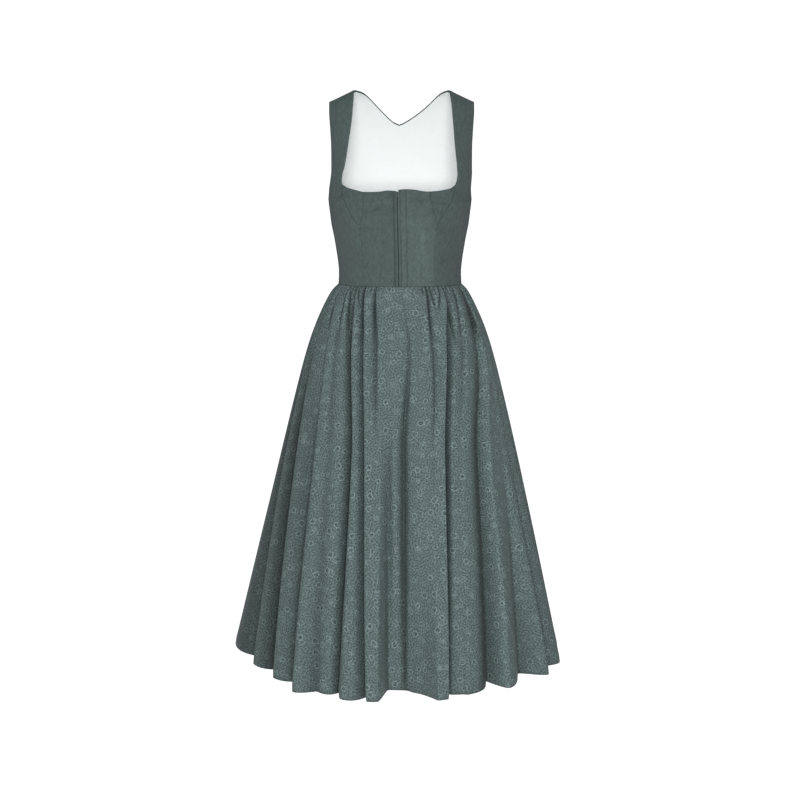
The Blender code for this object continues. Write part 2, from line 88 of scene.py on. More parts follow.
BODY = tuple(Section(*row) for row in (
    (-0.389, 0.1256, 0.097, 0.093, 0.92), (-0.3655, 0.1247, 0.0985, 0.0925, 0.92),
    (-0.341, 0.1267, 0.1015, 0.0925, 0.9), (-0.3165, 0.1303, 0.1065, 0.094, 0.88),
    (-0.2925, 0.1343, 0.1125, 0.097, 0.86), (-0.2675, 0.1393, 0.1175, 0.1005, 0.84),
    (-0.2435, 0.1423, 0.1195, 0.104, 0.82), (-0.2195, 0.145, 0.118, 0.1065, 0.82),
    (-0.1975, 0.1455, 0.111, 0.1085, 0.82), (-0.1675, 0.1458, 0.099, 0.109, 0.82),
    (-0.1275, 0.146, 0.085, 0.103, 0.82), (-0.0875, 0.1468, 0.07, 0.09, 0.82),
    (-0.0475, 0.1478, 0.052, 0.068, 0.82), (-0.0225, 0.1485, 0.0385, 0.048, 0.82),
    (-0.008, 0.1485, 0.025, 0.031, 0.82), (-0.001, 0.1485, 0.013, 0.016, 0.82),
    (RIDGE_LEVEL, 0.1485, 0, 0, 0.82)))

# Seams and edges of the bodice, each a table of level and angle.
CENTRE_FRONT: Line = ((-0.389, -0.85), (-0.197, -1))
WAIST_SEAM_LEFT: Line = ((-0.389, 33.4), (-0.335, 30), (-0.295, 28.8), (-0.2675, 28))
WAIST_SEAM_RIGHT: Line = ((-0.389, -37), (-0.315, -33.5), (-0.2675, -31))
BUST_SEAM_LEFT: Line = (
    (-0.2675, 28), (-0.25, 31), (-0.234, 35.6), (-0.22, 40.6), (-0.209, 43.2), (-0.184, 45.3))
BUST_SEAM_RIGHT: Line = (
    (-0.2675, -31), (-0.256, -35.8), (-0.244, -39.5), (-0.23, -43), (-0.217, -46.5),
    (-0.205, -49.2), (-0.184, -50.8))
GORE_SEAM_LEFT: Line = (
    (-0.2675, 28), (-0.247, 24.8), (-0.228, 21.8), (-0.212, 20), (-0.195, 19.8))
GORE_SEAM_RIGHT: Line = ((-0.2675, -31), (-0.25, -28.2), (-0.226, -25.8), (-0.195, -25.5))
STRAP_INNER_LEFT: Line = (
    (-0.184, 45.3), (-0.1785, 46.2), (-0.1685, 46.5), (-0.1495, 45.8), (-0.1255, 44.2),
    (-0.1015, 42.6), (-0.0545, 40), (-0.0195, 38), (0.002, 36.2))
STRAP_INNER_RIGHT: Line = (
    (-0.184, -50.8), (-0.1785, -51.6), (-0.1685, -51.6), (-0.1495, -48.2), (-0.1255, -45.2),
    (-0.1015, -42.7), (-0.0545, -38.4), (-0.0195, -36.6), (0.002, -36.2))
ARMHOLE_FRONT: Line = (
    (-0.389, 90), (-0.2195, 90), (-0.2177, 86.5), (-0.2094, 81), (-0.2, 78.6), (-0.1775, 76),
    (-0.1475, 74.5), (-0.1075, 74.5), (-0.0675, 76.5), (-0.0275, 79), (0.002, 80))
ARMHOLE_BACK: Line = (
    (-0.389, 90), (-0.2195, 90), (-0.2177, 94), (-0.2094, 100.5), (-0.2, 103.8), (-0.1775, 107.8),
    (-0.148, 110.4))
BACK_SEAM: Line = (
    (-0.389, 148), (-0.33, 146), (-0.27, 141), (-0.22, 133), (-0.18, 124.5), (-0.148, 112.4))
BACK_ARM_EDGE: Line = (
    (-0.148, 112.4), (-0.1075, 111.2), (-0.0675, 108.5), (-0.0275, 103.5), (0.002, 100))
BACK_NECK_LEFT: Line = (
    (-0.389, 179.2), (-0.12, 179.2), (-0.08, 180.9), (-0.0685, 180.9), (-0.064, 179.3),
    (-0.0505, 173.2), (-0.0385, 167.8), (-0.0255, 162.1), (-0.012, 156.6), (-0.0025, 151),
    (0.002, 143.8))
BACK_NECK_RIGHT: Line = (
    (-0.389, 179.2), (-0.12, 179.2), (-0.08, 180.9), (-0.0685, 180.9), (-0.062, 184.1),
    (-0.0505, 188.2), (-0.0255, 197), (-0.012, 202.2), (-0.0025, 207.8), (0.002, 216.2))
# The front neckline is read by its angle, and its two edges differ in height between two angles.
NECKLINE: Line = (
    (-0.185, -49.6), (-0.1915, -41), (-0.1955, -32.2), (-0.1985, -24.8), (-0.1985, -17.8),
    (-0.1975, -11.8), (-0.1955, -6.2), (-0.1965, -1.1), (-0.1937, -0.9), (-0.193, 3), (-0.194, 8),
    (-0.1965, 13), (-0.1975, 17.8), (-0.197, 24.8), (-0.195, 32.2), (-0.1925, 38.8), (-0.185, 45))
NECKLINE_STEP = (-1.1, -0.9)


class Crease(NamedTuple):
    """A soft trough in the bodice along points of x and z; depth and width are in mm.

    A negative depth makes a ridge.
    """

    points: Line
    depth: float
    width: float
    behind: bool = False


CREASES = tuple(Crease(*row) for row in (
    (((-0.072, -0.242), (-0.0472, -0.233), (-0.024, -0.2235)), 0.9, 3),
    (((-0.0551, -0.2225), (-0.0314, -0.2155)), -0.5, 3.5),
    (((-0.0831, -0.2682), (-0.0672, -0.2718), (-0.0454, -0.2734)), 0.5, 3),
    (((0.0641, -0.2196), (0.079, -0.2209), (0.0969, -0.2229)), 1.2, 2),
    (((0.0591, -0.2389), (0.093, -0.2385)), 0.9, 2.4), (((0.064, -0.208), (0.093, -0.21)), 0.5, 2),
    (((0.0256, -0.2105), (0.0414, -0.2144), (0.0582, -0.2203)), 0.5, 3),
    (((0.008, -0.2434), (0.0356, -0.2477), (0.0652, -0.246)), 0.5, 3.5),
    (((0.0673, -0.2698), (0.0773, -0.274), (0.0914, -0.2815)), 1, 2.4),
    (((0.0444, -0.2714), (0.0456, -0.2975)), -0.6, 4),
    (((0.0437, -0.3093), (0.0559, -0.3581)), -0.4, 4.5),
    (((0.0276, -0.2753), (0.0673, -0.2678)), 0.4, 3),
    (((-0.095, -0.342), (-0.07, -0.3475), (-0.048, -0.349)), 0.4, 4),
    (((0.096, -0.335), (0.076, -0.342)), 0.5, 3.5),
    (((0.101, -0.196), (0.118, -0.204), (0.13, -0.216)), 0.6, 3.5),
    (((-0.102, -0.198), (-0.116, -0.207), (-0.129, -0.215)), 0.7, 3.5),
    (((-0.1, -0.3), (-0.087, -0.316), (-0.08, -0.33)), 0.5, 4),
    (((-0.09, -0.338), (-0.056, -0.345), (-0.02, -0.344)), 0.7, 4, True),
    (((0.095, -0.335), (0.062, -0.346), (0.026, -0.35)), 0.6, 4.5, True),
    (((-0.07, -0.362), (-0.038, -0.368)), 0.6, 3.5, True),
    (((0.076, -0.364), (0.042, -0.37)), 0.5, 3.5, True),
    (((-0.108, -0.17), (-0.086, -0.188), (-0.07, -0.21)), 0.7, 4.5, True),
    (((0.109, -0.172), (0.09, -0.186), (0.076, -0.206)), 0.6, 4.5, True),
    (((-0.02, -0.098), (-0.042, -0.108)), 0.4, 4, True)))


class Patch(NamedTuple):
    """A soft patch of painted sheen on the bodice, painted shade where its gain is below 0: its
    middle, half sizes and gain.
    """

    x: float
    z: float
    wide: float
    high: float
    gain: float
    behind: bool = False


PATCHES = tuple(Patch(*row) for row in (
    (0.042, -0.216, 0.045, 0.03, -0.12), (-0.042, -0.216, 0.045, 0.03, -0.05),
    (0.0467, -0.317, 0.02, 0.065, 0.1), (0.049, -0.292, 0.004, 0.016, 0.09),
    (0.0465, -0.33, 0.006, 0.018, 0.07), (0.0125, -0.253, 0.004, 0.045, 0.08),
    (0.072, -0.211, 0.014, 0.006, 0.06), (-0.0285, -0.2225, 0.012, 0.006, 0.1),
    (-0.0157, -0.307, 0.01, 0.045, 0.09), (-0.048, -0.328, 0.022, 0.035, 0.05),
    (-0.032, -0.239, 0.016, 0.006, -0.08), (0.0445, -0.215, 0.016, 0.006, -0.07),
    (0.0555, -0.272, 0.014, 0.004, -0.07), (0.06, -0.3, 0.03, 0.05, 0.07, True),
    (-0.055, -0.31, 0.026, 0.045, 0.06, True), (-0.05, -0.15, 0.03, 0.03, 0.05, True)))


class Hang(NamedTuple):
    """The skirt's section at one drop below the waist seam."""

    drop: float
    half_width: float
    front: float
    back: float


HANGS = tuple(Hang(*row) for row in (
    (0, 0.1256, 0.097, 0.093), (0.012, 0.1375, 0.101, 0.103), (0.033, 0.15, 0.1085, 0.115),
    (0.083, 0.1725, 0.129, 0.138), (0.132, 0.189, 0.15, 0.157), (0.207, 0.209, 0.181, 0.184),
    (0.46, 0.269, 0.274, 0.261), (0.76, 0.338, 0.387, 0.352)))
FOLD_SHARES = (0.0, 0.14, 0.42, 1.0)


class Fold(NamedTuple):
    """A valley of the skirt and the crest that follows it.

    waist to hem are the valley's angles at FOLD_SHARES of the length, knee_in to hem_in its
    depth inside the section in mm (negative is inwards), crest_at the crest's place up to the
    next valley, crease how sharp the valley is and the shades its painted shade (painted light
    below 0).
    """

    waist: float
    knee: float
    mid: float
    hem: float
    knee_in: float
    mid_in: float
    hem_in: float
    crest_at: float
    mid_out: float
    hem_out: float
    crease: float
    knee_shade: float = 0.0
    mid_shade: float = 0.0
    hem_shade: float = 0.0


FOLDS = tuple(Fold(*row) for row in (
    (-90, -90, -91, -92, -4, -14, -26, 0.26, 3, 10, 0.5),
    (-83, -80, -76.5, -66, -10, -30, -48, 0.24, 3, -3, 0.9, 0.2, 0.6, 0.55),
    (-73, -70, -62.9, -50.9, -10, -40, -62, 0.24, 4, 0, 0.9, 0.25, 1, 1),
    (-64, -53, -46.3, -37.4, -3, -27, -50, 0.28, 7, 25, 0.8, 0, 0.5, 0.9),
    (-55, -45.9, -37.7, -29.2, -2, -1, -9, 0.42, 3, -4, 0.4, 0, 0, 0.2),
    (-40, -34, -25, -21.8, -20, -35, -28, 0.34, 4, 9, 0.8, 1, 0.95, 0.8),
    (-31, -25.7, -18.8, -11.6, -18, -25, -26, 0.36, 1, 4, 1, 0.55, 0.25, 0.15),
    (-22, -16.4, -12.3, -8.8, -13, -1, 3, 0.4, 0, 0, 0.4, 0.2),
    (-8, -8.5, -5.9, -4.7, 0, -10, -76, 0.38, -4, -77, 0),
    (0, 6.3, 1.9, 1.8, -10, -32, -76, 0.5, -8, -60, 0.8, 0.1, 0.4, 0.7),
    (15.5, 13.5, 11, 8.5, -2, -2, -42, 0.5, 0, -22, 0.2),
    (22, 22.6, 16.7, 12.8, -14, -2, 0, 0.74, 2, -1, 0.4, 0.1),
    (44, 32.7, 23.2, 16.9, -28, -44, -38, 0.5, -2, -22, 1, 0.6, 0.85, 0.4),
    (52, 45.5, 30.2, 22, -6, -2, -16, 0.12, 1, -9, 0.3),
    (66, 65.1, 47, 35.5, -22, -32, -56, 0.18, 3, 12, 1, 0.6, 1.15, 1.1),
    (74, 68.6, 59, 49.5, 0, 0, -30, 0.58, 3, 27, 0.2, -0.1, -0.15, 0.25),
    (81, 76, 67, 58, 0, -3, -20, 0.5, 2, 19, 0.4, -0.1, -0.1, 0.2),
    (86, 84, 80, 73, -6, -18, -36, 0.3, 0, -3, 0.4, 0.1, 0.2, 0.3),
    (91, 91, 91, 91, -6, -16, -36, 0.5, 0, -10, 0.5, 0.2, 0.3, 0.4),
    (100, 101, 104, 105, -10, -28, -52, 0.45, 4, 6, 0.6, 0.4, 0.7, 0.7),
    (112, 113, 115, 117, -7, -12, -26, 0.55, 3, 6, 0.2, 0.1, 0.1, 0.2),
    (123, 125, 128, 131, -12, -32, -56, 0.45, 5, 15, 0.7, 0.5, 0.8, 0.8),
    (136, 138, 140, 143, -6, -14, -34, 0.5, 2, 4, 0.3, 0.1, 0.2, 0.4),
    (149, 150, 152, 154, -10, -29, -50, 0.4, 6, 18, 0.5, 0.4, 0.6, 0.6),
    (162, 163, 165, 168, -7, -10, -22, 0.6, 4, 9, 0.1, 0, 0.1, 0.1),
    (175, 176, 177, 180, -12, -33, -60, 0.45, 4, 12, 0.6, 0.5, 0.8, 0.8),
    (189, 190, 191, 192, -6, -16, -30, 0.5, 3, 2, 0.3, 0.1, 0.2, 0.3),
    (202, 203, 205, 207, -10, -28, -55, 0.55, 6, 16, 0.5, 0.4, 0.6, 0.7),
    (215, 216, 218, 220, -7, -11, -24, 0.45, 3, 8, 0.2, 0, 0.1, 0.2),
    (229, 230, 231, 232, -12, -32, -57, 0.5, 4, 14, 0.7, 0.5, 0.8, 0.8),
    (242, 243, 244, 245, -6, -15, -32, 0.5, 2, 3, 0.2, 0.1, 0.2, 0.3),
    (255, 256, 256, 257, -9, -26, -48, 0.45, 3, 6, 0.4, 0.3, 0.5, 0.6)))
SIDE_SEAM_RIGHT, SIDE_SEAM_LEFT = 0, 18     # the folds that run down the side seams


class Gather(NamedTuple):
    """A groove pinched into the waist seam that runs down and dies away.

    top and foot are its angles at the start and end drops; depth and width are in mm.
    """

    top: float
    start: float
    foot: float
    end: float
    depth: float
    width: float


GATHERS = tuple(Gather(*row) for row in (
    (-86, 0, -84, 0.06, 2.4, 2.6), (-79, 0, -77, 0.05, 2, 2.4), (-70, 0.012, -74, 0.075, 2.6, 2.6),
    (-65.5, 0, -57, 0.085, 3.2, 3), (-59, 0, -58, 0.02, 1.6, 2), (-55.5, 0, -54, 0.022, 1.6, 2),
    (-51.2, 0, -44.5, 0.09, 3, 3), (-48.8, 0.004, -41.7, 0.028, 2.4, 2.2),
    (-46, 0, -37, 0.1, 4.2, 2.8), (-41.2, 0, -35.4, 0.056, 2.8, 2.2),
    (-37.8, 0, -31, 0.044, 2.6, 2.2), (-34.8, 0, -33.5, 0.018, 1.8, 1.8),
    (-32, 0, -26.8, 0.1, 4.2, 2.6), (-28.2, 0, -27.2, 0.016, 1.7, 1.9),
    (-24.7, 0, -23.6, 0.014, 2.2, 1.8), (-20.9, 0, -17.8, 0.1, 3.4, 2.4),
    (-17.4, 0, -17.2, 0.012, 1.2, 1.8), (-13.6, 0, -13.2, 0.01, 0.9, 1.8),
    (-9.8, 0, -9.8, 0.009, 0.8, 1.6), (-5.6, 0, -5.4, 0.008, 0.7, 1.6),
    (3.2, 0, 3.2, 0.008, 0.8, 1.7), (7.4, 0, 7.2, 0.011, 1, 1.8), (11.8, 0, 11.6, 0.009, 0.9, 1.8),
    (15.2, 0, 15, 0.012, 1.4, 1.9), (18.4, 0, 17.9, 0.02, 2.2, 1.9),
    (22.3, 0, 22.9, 0.1, 3.8, 2.4), (25.7, 0.002, 27.1, 0.05, 2.8, 2.2),
    (30.4, 0, 29.6, 0.014, 1.6, 1.9), (35.9, 0, 28.8, 0.05, 2.8, 2.2),
    (40.6, 0.006, 38, 0.11, 4.2, 2.8), (44.8, 0, 44, 0.016, 1.8, 2), (48.8, 0, 47.6, 0.02, 1.8, 2),
    (53, 0, 46, 0.085, 2.4, 2.4), (60.2, 0, 59, 0.02, 1.8, 2.2), (67.2, 0, 65, 0.11, 3.6, 2.8),
    (74, 0.018, 73, 0.085, 2.6, 2.4), (80.5, 0, 80, 0.04, 2.2, 2.4), (87, 0, 86, 0.06, 2.4, 2.6),
    (94.5, 0, 96, 0.05, 2.2, 2.4), (100, 0, 101.5, 0.095, 3.4, 2.8),
    (105.5, 0, 105, 0.022, 1.8, 2.2), (109.6, 0, 110.5, 0.048, 2.6, 2.4),
    (116, 0, 118.5, 0.07, 2.8, 2.6), (121.4, 0, 124, 0.1, 3.8, 2.8),
    (126.2, 0, 126.8, 0.024, 2, 2.2), (131, 0, 133.5, 0.06, 2.8, 2.4),
    (137.4, 0, 138.6, 0.08, 3, 2.6), (142, 0, 142, 0.02, 1.8, 2), (146.6, 0, 149.5, 0.1, 3.8, 2.8),
    (152.2, 0, 153, 0.034, 2.2, 2.2), (157, 0, 157.6, 0.058, 2.6, 2.4),
    (162.8, 0, 163.2, 0.078, 3, 2.6), (167.6, 0, 167.2, 0.02, 1.7, 2),
    (172, 0, 174.8, 0.1, 4, 2.8), (177.4, 0, 178.4, 0.04, 2.4, 2.2),
    (182.6, 0, 182, 0.018, 1.8, 2), (187.2, 0, 189, 0.075, 3, 2.6),
    (193, 0, 193.6, 0.04, 2.2, 2.4), (198, 0, 197, 0.022, 1.9, 2), (201.6, 0, 203, 0.1, 3.9, 2.8),
    (206.8, 0, 207.4, 0.03, 2.2, 2.2), (211, 0, 213.4, 0.066, 2.8, 2.4),
    (217.4, 0, 216.8, 0.024, 1.9, 2.2), (222, 0, 223, 0.05, 2.4, 2.4),
    (227.6, 0, 229.8, 0.1, 3.8, 2.8), (233.4, 0, 234, 0.034, 2.2, 2.2),
    (239, 0, 241, 0.072, 3, 2.6), (244.6, 0, 244, 0.022, 1.8, 2.2),
    (250.2, 0, 250, 0.046, 2.4, 2.4), (255.4, 0, 256, 0.09, 3.4, 2.8),
    (261.6, 0, 261, 0.04, 2.2, 2.4), (267, 0, 267.5, 0.06, 2.4, 2.6)))


def blend(first: Array, second: Array) -> Array:
    """Slope of a cubic between two slopes: their harmonic mean, or 0 where they differ in sign."""
    same_sign = first * second > 0
    return np.where(same_sign, 2 * first * second / np.where(same_sign, first + second, 1.0), 0.0)


def cubic(t: Array, low: Array, high: Array, width: Array, start: Array, end: Array) -> Array:
    """Cubic from low to high over a width, with the slopes start and end, at shares t of it."""
    return ((1 + 2 * t) * (1 - t) ** 2 * low + t * (1 - t) ** 2 * width * start
            + t * t * (3 - 2 * t) * high - t * t * (1 - t) * width * end)


def read_table(x: Any, xs: Sequence[float], ys: Sequence[float]) -> Array:
    """Read a table on a cubic through its rows that doesn't overshoot them.

    Args:
        x: where to read.
        xs: rising places of the rows.
        ys: values of the rows.

    Returns:
        The value at each x.
    """
    xs, ys = np.asarray(xs, float), np.asarray(ys, float)
    slope = np.diff(ys) / np.diff(xs)
    tangent = np.concatenate((slope[:1], blend(slope[:-1], slope[1:]), slope[-1:]))
    i = np.clip(np.searchsorted(xs, x, side="right") - 1, 0, len(xs) - 2)
    width = xs[i + 1] - xs[i]
    t = np.clip((x - xs[i]) / width, 0, 1)
    return cubic(t, ys[i], ys[i + 1], width, tangent[i], tangent[i + 1])


def column(rows: Sequence[NamedTuple], name: str) -> Array:
    """One named column of a table of rows."""
    return np.array([getattr(row, name) for row in rows], float)


def step_up(x: Any, low: float, high: float) -> Array:
    """Rise smoothly from 0 at low to 1 at high, or fall where high is the lower one."""
    t = np.clip((x - low) / (high - low), 0, 1)
    return t * t * (3 - 2 * t)


def bell(x: Any) -> Array:
    """Gaussian bell: 1 at 0, and 1 / e at -1 and 1."""
    return np.exp(-x ** 2)


def rolled(distance: Array, reach: float) -> Array:
    """Fall from 1 at an edge to 0 at a distance from it, as a rounded edge does."""
    return (1 - np.clip(distance / reach, 0, 1)) ** 2


def eased(count: int, ease: float = 0.85) -> Array:
    """Shares from 0 to 1 that crowd at both ends."""
    t = np.linspace(0, 1, count)
    return t - ease * np.sin(2 * np.pi * t) / (2 * np.pi)


def runs(*spans: tuple[float, float, int]) -> Array:
    """Join evenly spaced runs, each given by its start, end and number of steps."""
    pieces = [np.linspace(start, end, steps, endpoint=False) for start, end, steps in spans]
    return np.concatenate([*pieces, [spans[-1][1]]])


def angle_on(path: Sequence[Line], level: Array) -> Array:
    """Angle at each level of a path of lines that follow each other upwards.

    Args:
        path: the lines, from the lowest up.
        level: where to read it.

    Returns:
        The angles.
    """
    angle = np.zeros(np.shape(level))
    for number, line in enumerate(path):
        levels, angles = zip(*line)
        there = read_table(level, levels, angles)
        angle = there if number == 0 else np.where(level > levels[0], there, angle)
    return angle


def mirrored(line: Line, whole: float) -> Line:
    """The same line on the other half, where whole is the sum of the two angles."""
    return tuple((level, whole - angle) for level, angle in line)


def unit(vectors: Array) -> Array:
    """Vectors at length 1."""
    return vectors / np.maximum(np.linalg.norm(vectors, axis=-1, keepdims=True), 1e-12)


def grid_normals(points: Array) -> Array:
    """Unit normals of a grid whose rows go up and whose columns go round with the angle."""
    return unit(np.cross(np.gradient(points, axis=1), np.gradient(points, axis=0)))


def lengths(points: Array, axis: int) -> Array:
    """Length along a grid.

    Args:
        points: the grid.
        axis: 1 for the length from the first column, 0 for that from the first row.

    Returns:
        The length at each point.
    """
    step = np.linalg.norm(np.diff(points, axis=axis), axis=2)
    start = np.zeros_like(np.take(step, [0], axis=axis))
    return np.concatenate((start, np.cumsum(step, axis=axis)), axis=axis)


def grid_area(points: Array) -> float:
    """Area of a grid of points, from the cross products of its cells' diagonals."""
    first, second = points[1:, 1:] - points[:-1, :-1], points[1:, :-1] - points[:-1, 1:]
    return float(np.linalg.norm(np.cross(first, second), axis=2).sum() / 2)


def ring_point(angle: Array, half_width: Array, front: Array, back: Array,
               power: Array) -> tuple[Array, Array]:
    """Points on a superellipse whose depth differs in front and behind.

    Args:
        angle: radians round the body.
        half_width: half the width.
        front: depth in front.
        back: depth behind.
        power: of the sine and cosine: 1 for an ellipse, and squarer below it.

    Returns:
        x and y.
    """
    sine, cosine = np.sin(angle), np.cos(angle)
    depth = np.where(cosine > 0, front, back)
    return (half_width * np.sign(sine) * np.abs(sine) ** power,
            -depth * np.sign(cosine) * np.abs(cosine) ** power)


@dataclass(frozen=True)
class BodyForm:
    """The form that the bodice is fitted to."""

    sections: tuple[Section, ...] = BODY
    shoulder_fall: float = 0.47             # for each metre out from shoulder_inner
    shoulder_inner: float = 0.094
    fall_from: float = -0.1375              # level from which the cloth falls
    fall_height: float = 0.13               # and the height over which that sets in
    shoulder_shift: float = 0.0033          # of the straps to the left
    shift_from: float = -0.195
    shift_height: float = 0.03
    waist_rise: float = 0.0020              # of the waist seam in front
    rise_below: float = -0.30

    def read(self, level: Array, name: str) -> Array:
        """One measure of the sections at each level."""
        return read_table(level, column(self.sections, "level"), column(self.sections, name))

    def point(self, angle: Array, level: Array) -> Array:
        """Points of the outer face: a superellipse section, lowered along the shoulders.

        Args:
            angle: degrees round the body.
            level: height before the fall of the shoulders.

        Returns:
            One point for each angle and level.
        """
        angle, level = np.broadcast_arrays(np.radians(angle), np.asarray(level, float))
        levels = column(self.sections, "level")
        front, back = (
            np.sqrt(np.maximum(read_table(level, levels, column(self.sections, name) ** 2), 0))
            for name in ("front", "back"))
        x, y = ring_point(angle, self.read(level, "half_width"), front, back,
                          self.read(level, "squareness"))
        near_shoulder = np.clip((level - self.fall_from) / self.fall_height, 0, 1) ** 1.5
        outward = np.clip(np.abs(x) - self.shoulder_inner, 0, None)
        fall = self.shoulder_fall * near_shoulder * outward
        near_waist = np.clip((level - self.rise_below) / (WAIST_LEVEL - self.rise_below), 0, 1)
        rise = self.waist_rise * near_waist * np.clip(np.cos(angle), 0, 1)
        shift = self.shoulder_shift * np.clip((level - self.shift_from) / self.shift_height, 0, 1)
        return np.stack((x + shift, y, level - fall + rise), axis=-1)

    def centre_strip(self, offsets: Array, levels: Array) -> Array:
        """A strip of the form beside the centre front line.

        Args:
            offsets: distances in x from the line.
            levels: one for each row.

        Returns:
            The grid of points.
        """
        centre = self.point(angle_on((CENTRE_FRONT,), levels), levels)
        share = (centre[:, :1] + offsets[None, :]) / self.read(levels, "half_width")[:, None]
        power = 1 / self.read(levels, "squareness")[:, None]
        turn = np.degrees(np.arcsin(np.sign(share) * np.abs(share) ** power))
        return self.point(turn, levels[:, None])

    def side_line(self, offset: float, levels: Array) -> tuple[Array, Array]:
        """Points and normals at a distance in x from the centre front line."""
        strip = self.centre_strip(offset + np.array([-0.0005, 0.0, 0.0005]), levels)
        return strip[:, 1], grid_normals(strip)[:, 1]


@dataclass(frozen=True)
class SkirtForm:
    """The form in which the gathered skirt hangs."""

    hangs: tuple[Hang, ...] = HANGS
    folds: tuple[Fold, ...] = FOLDS
    gathers: tuple[Gather, ...] = GATHERS
    waist_in: float = -1.2          # mm
    length_side: float = 0.7475
    length_front: float = 0.7640
    length_back: float = 0.7540
    waist_rise: float = 0.0020
    waist_squareness: float = 0.92
    round_from: float = 0.08        # drop at which the section is round
    sharpness: float = 2.9          # of a valley whose crease is 1
    gather_depth: float = 2.2
    gather_spread: float = 6.0      # how much wider a gather is for each metre of drop
    overrun: float = 1.4            # how far it keeps its slant, of its length
    fade_in: tuple[float, float] = (-0.010, 0.006)      # drops about its start
    fade_out: tuple[float, float] = (1.25, 0.35)        # shares of its end
    groove_power: float = 1.4
    swell: float = 0.22             # on either side of a gather
    swell_width: float = 3.0
    # The fields below paint shade into the gathers' grooves and the folds' valleys, and light on
    # lit edges.
    gather_shade: float = 0.50
    shade_narrow: float = 1.9       # how much narrower the shade is than the groove
    waist_shade: float = 0.25       # of a fold's shade at the knee
    shade_width: float = 0.55       # of the way from a crest to a valley
    shade_spread: float = 0.45      # how much sooner it is dark at the sides
    shade_early: float = 0.16       # how much sooner it is dark behind another fold
    over_next: tuple[int, ...] = (12,)      # valleys whose first side lies in front of the other
    under_next: tuple[int, ...] = (14,)     # valleys whose second side lies in front
    # Valleys with a painted light edge on their second side, and how light it is.
    lit_beyond: tuple[tuple[int, float], ...] = ((1, 0.75), (2, 0.40), (3, 0.30), (14, 0.40))

    def surface(self, folds: Array, shares: Array) -> tuple[Array, Array]:
        """Points of the outer face, and the painted shade in its folds.

        Args:
            folds: count of valleys round the body, with a crest between two of them.
            shares: 0 at the waist seam to 1 at the hem.

        Returns:
            One row of points for each share, and a painted shade for each point, up to 1.
        """
        def rows_of(*names: str | float, factor: float = MM) -> Array:
            """A row for each fold and the first one again, from its measures down the cloth."""
            rows = [read_table(shares, FOLD_SHARES, factor * np.array(
                [getattr(fold, n) if isinstance(n, str) else n for n in names], float))
                for fold in self.folds]
            return np.array(rows + rows[:1])

        angle = rows_of("waist", "knee", "mid", "hem", factor=1.0)
        angle[-1] += 360.0
        valley = rows_of(self.waist_in, "knee_in", "mid_in", "hem_in")
        crest = np.array([
            read_table(shares, FOLD_SHARES,
                       MM * np.array((0, 0.5 * fold.mid_out, fold.mid_out, fold.hem_out)))
            for fold in self.folds])
        turn, offset = self.folded(folds, angle, valley, crest)
        radians = np.radians(turn)
        shade = self.shaded(folds, shares, radians)

        cosine = np.cos(radians)
        length = (self.length_side
                  + (self.length_front - self.length_side) * np.clip(cosine, 0, 1) ** 2
                  + (self.length_back - self.length_side) * np.clip(-cosine, 0, 1) ** 2)
        drop = shares[:, None] * length
        sizes = (read_table(drop, column(self.hangs, "drop"), column(self.hangs, name))
                 for name in ("half_width", "front", "back"))
        rounding = np.clip(drop / self.round_from, 0, 1)
        power = self.waist_squareness + (1 - self.waist_squareness) * rounding
        x, y = ring_point(radians, *sizes, power)
        radius = np.hypot(x, y)
        # lined is the painted shade in the gathers' grooves.
        pinched, lined = self.gathered(turn, drop, radius)
        grow = 1 + (offset - pinched) / radius
        rise = self.waist_rise * np.clip(cosine, 0, 1) * (1 - shares[:, None])
        points = np.stack((x * grow, y * grow, WAIST_LEVEL - SEAM_GAP + rise - drop), axis=-1)
        return points, 1 - (1 - shade) * (1 - lined)

    def shaded(self, folds: Array, shares: Array, radians: Array) -> Array:
        """Painted shade in the folds, and painted light on their lit edges.

        Args:
            folds: count of valleys round the body for each column.
            shares: 0 at the waist seam to 1 at the hem.
            radians: angle of each point.

        Returns:
            A smooth step of the nearness to the valley as painted shade; below 0, the painted
            light of a lit edge.
        """
        dark = [read_table(shares, FOLD_SHARES, (self.waist_shade * fold.knee_shade, *fold[-3:]))
                for fold in self.folds]
        dark = np.array(dark + dark[:1])
        k = np.clip(np.floor(folds).astype(int), 0, len(self.folds) - 1)
        part = 2 * (folds - k)
        near, after = np.abs(part - 1), part < 1
        early = np.where(after, np.isin(k, self.over_next), np.isin(k + 1, self.under_next))
        end = 1 - self.shade_spread * np.sin(radians) ** 2 - self.shade_early * early
        nearest = np.where(after, dark[k].T, dark[k + 1].T)
        shade = nearest * step_up(near, end - self.shade_width, end)
        light = np.zeros(len(self.folds))
        for valley, amount in self.lit_beyond:
            light[valley] = amount
        return np.where(after & (light[k] > 0.0), -light[k] * near, shade)

    def folded(self, folds: Array, angle: Array, valley: Array,
               crest: Array) -> tuple[Array, Array]:
        """Angle and offset of the columns between the valleys and crests.

        Args:
            folds: count of valleys round the body for each column.
            angle: of each valley in each row, with the first one again at the end.
            valley: offset of each valley in each row, likewise.
            crest: offset of each crest in each row.

        Returns:
            One row for each share.  The offset is a cubic from node to node; a creased valley
            keeps a share of the slope on each side.
        """
        crest_at = column(self.folds, "crest_at")[:, None]
        span = np.diff(angle, axis=0)
        before, after = span * crest_at, span * (1 - crest_at)
        up, down = (crest - valley[:-1]) / before, (valley[1:] - crest) / after
        at_crest = blend(up, down)
        into = np.roll(down, 1, axis=0)
        at_valley = blend(into, up)
        lowest = (into < 0) & (up > 0)
        sharp = self.sharpness * column(self.folds, "crease")[:, None] ** 0.7
        leaving = np.where(lowest, sharp * up, at_valley)
        reaching = np.roll(np.where(lowest, sharp * into, at_valley), -1, axis=0)

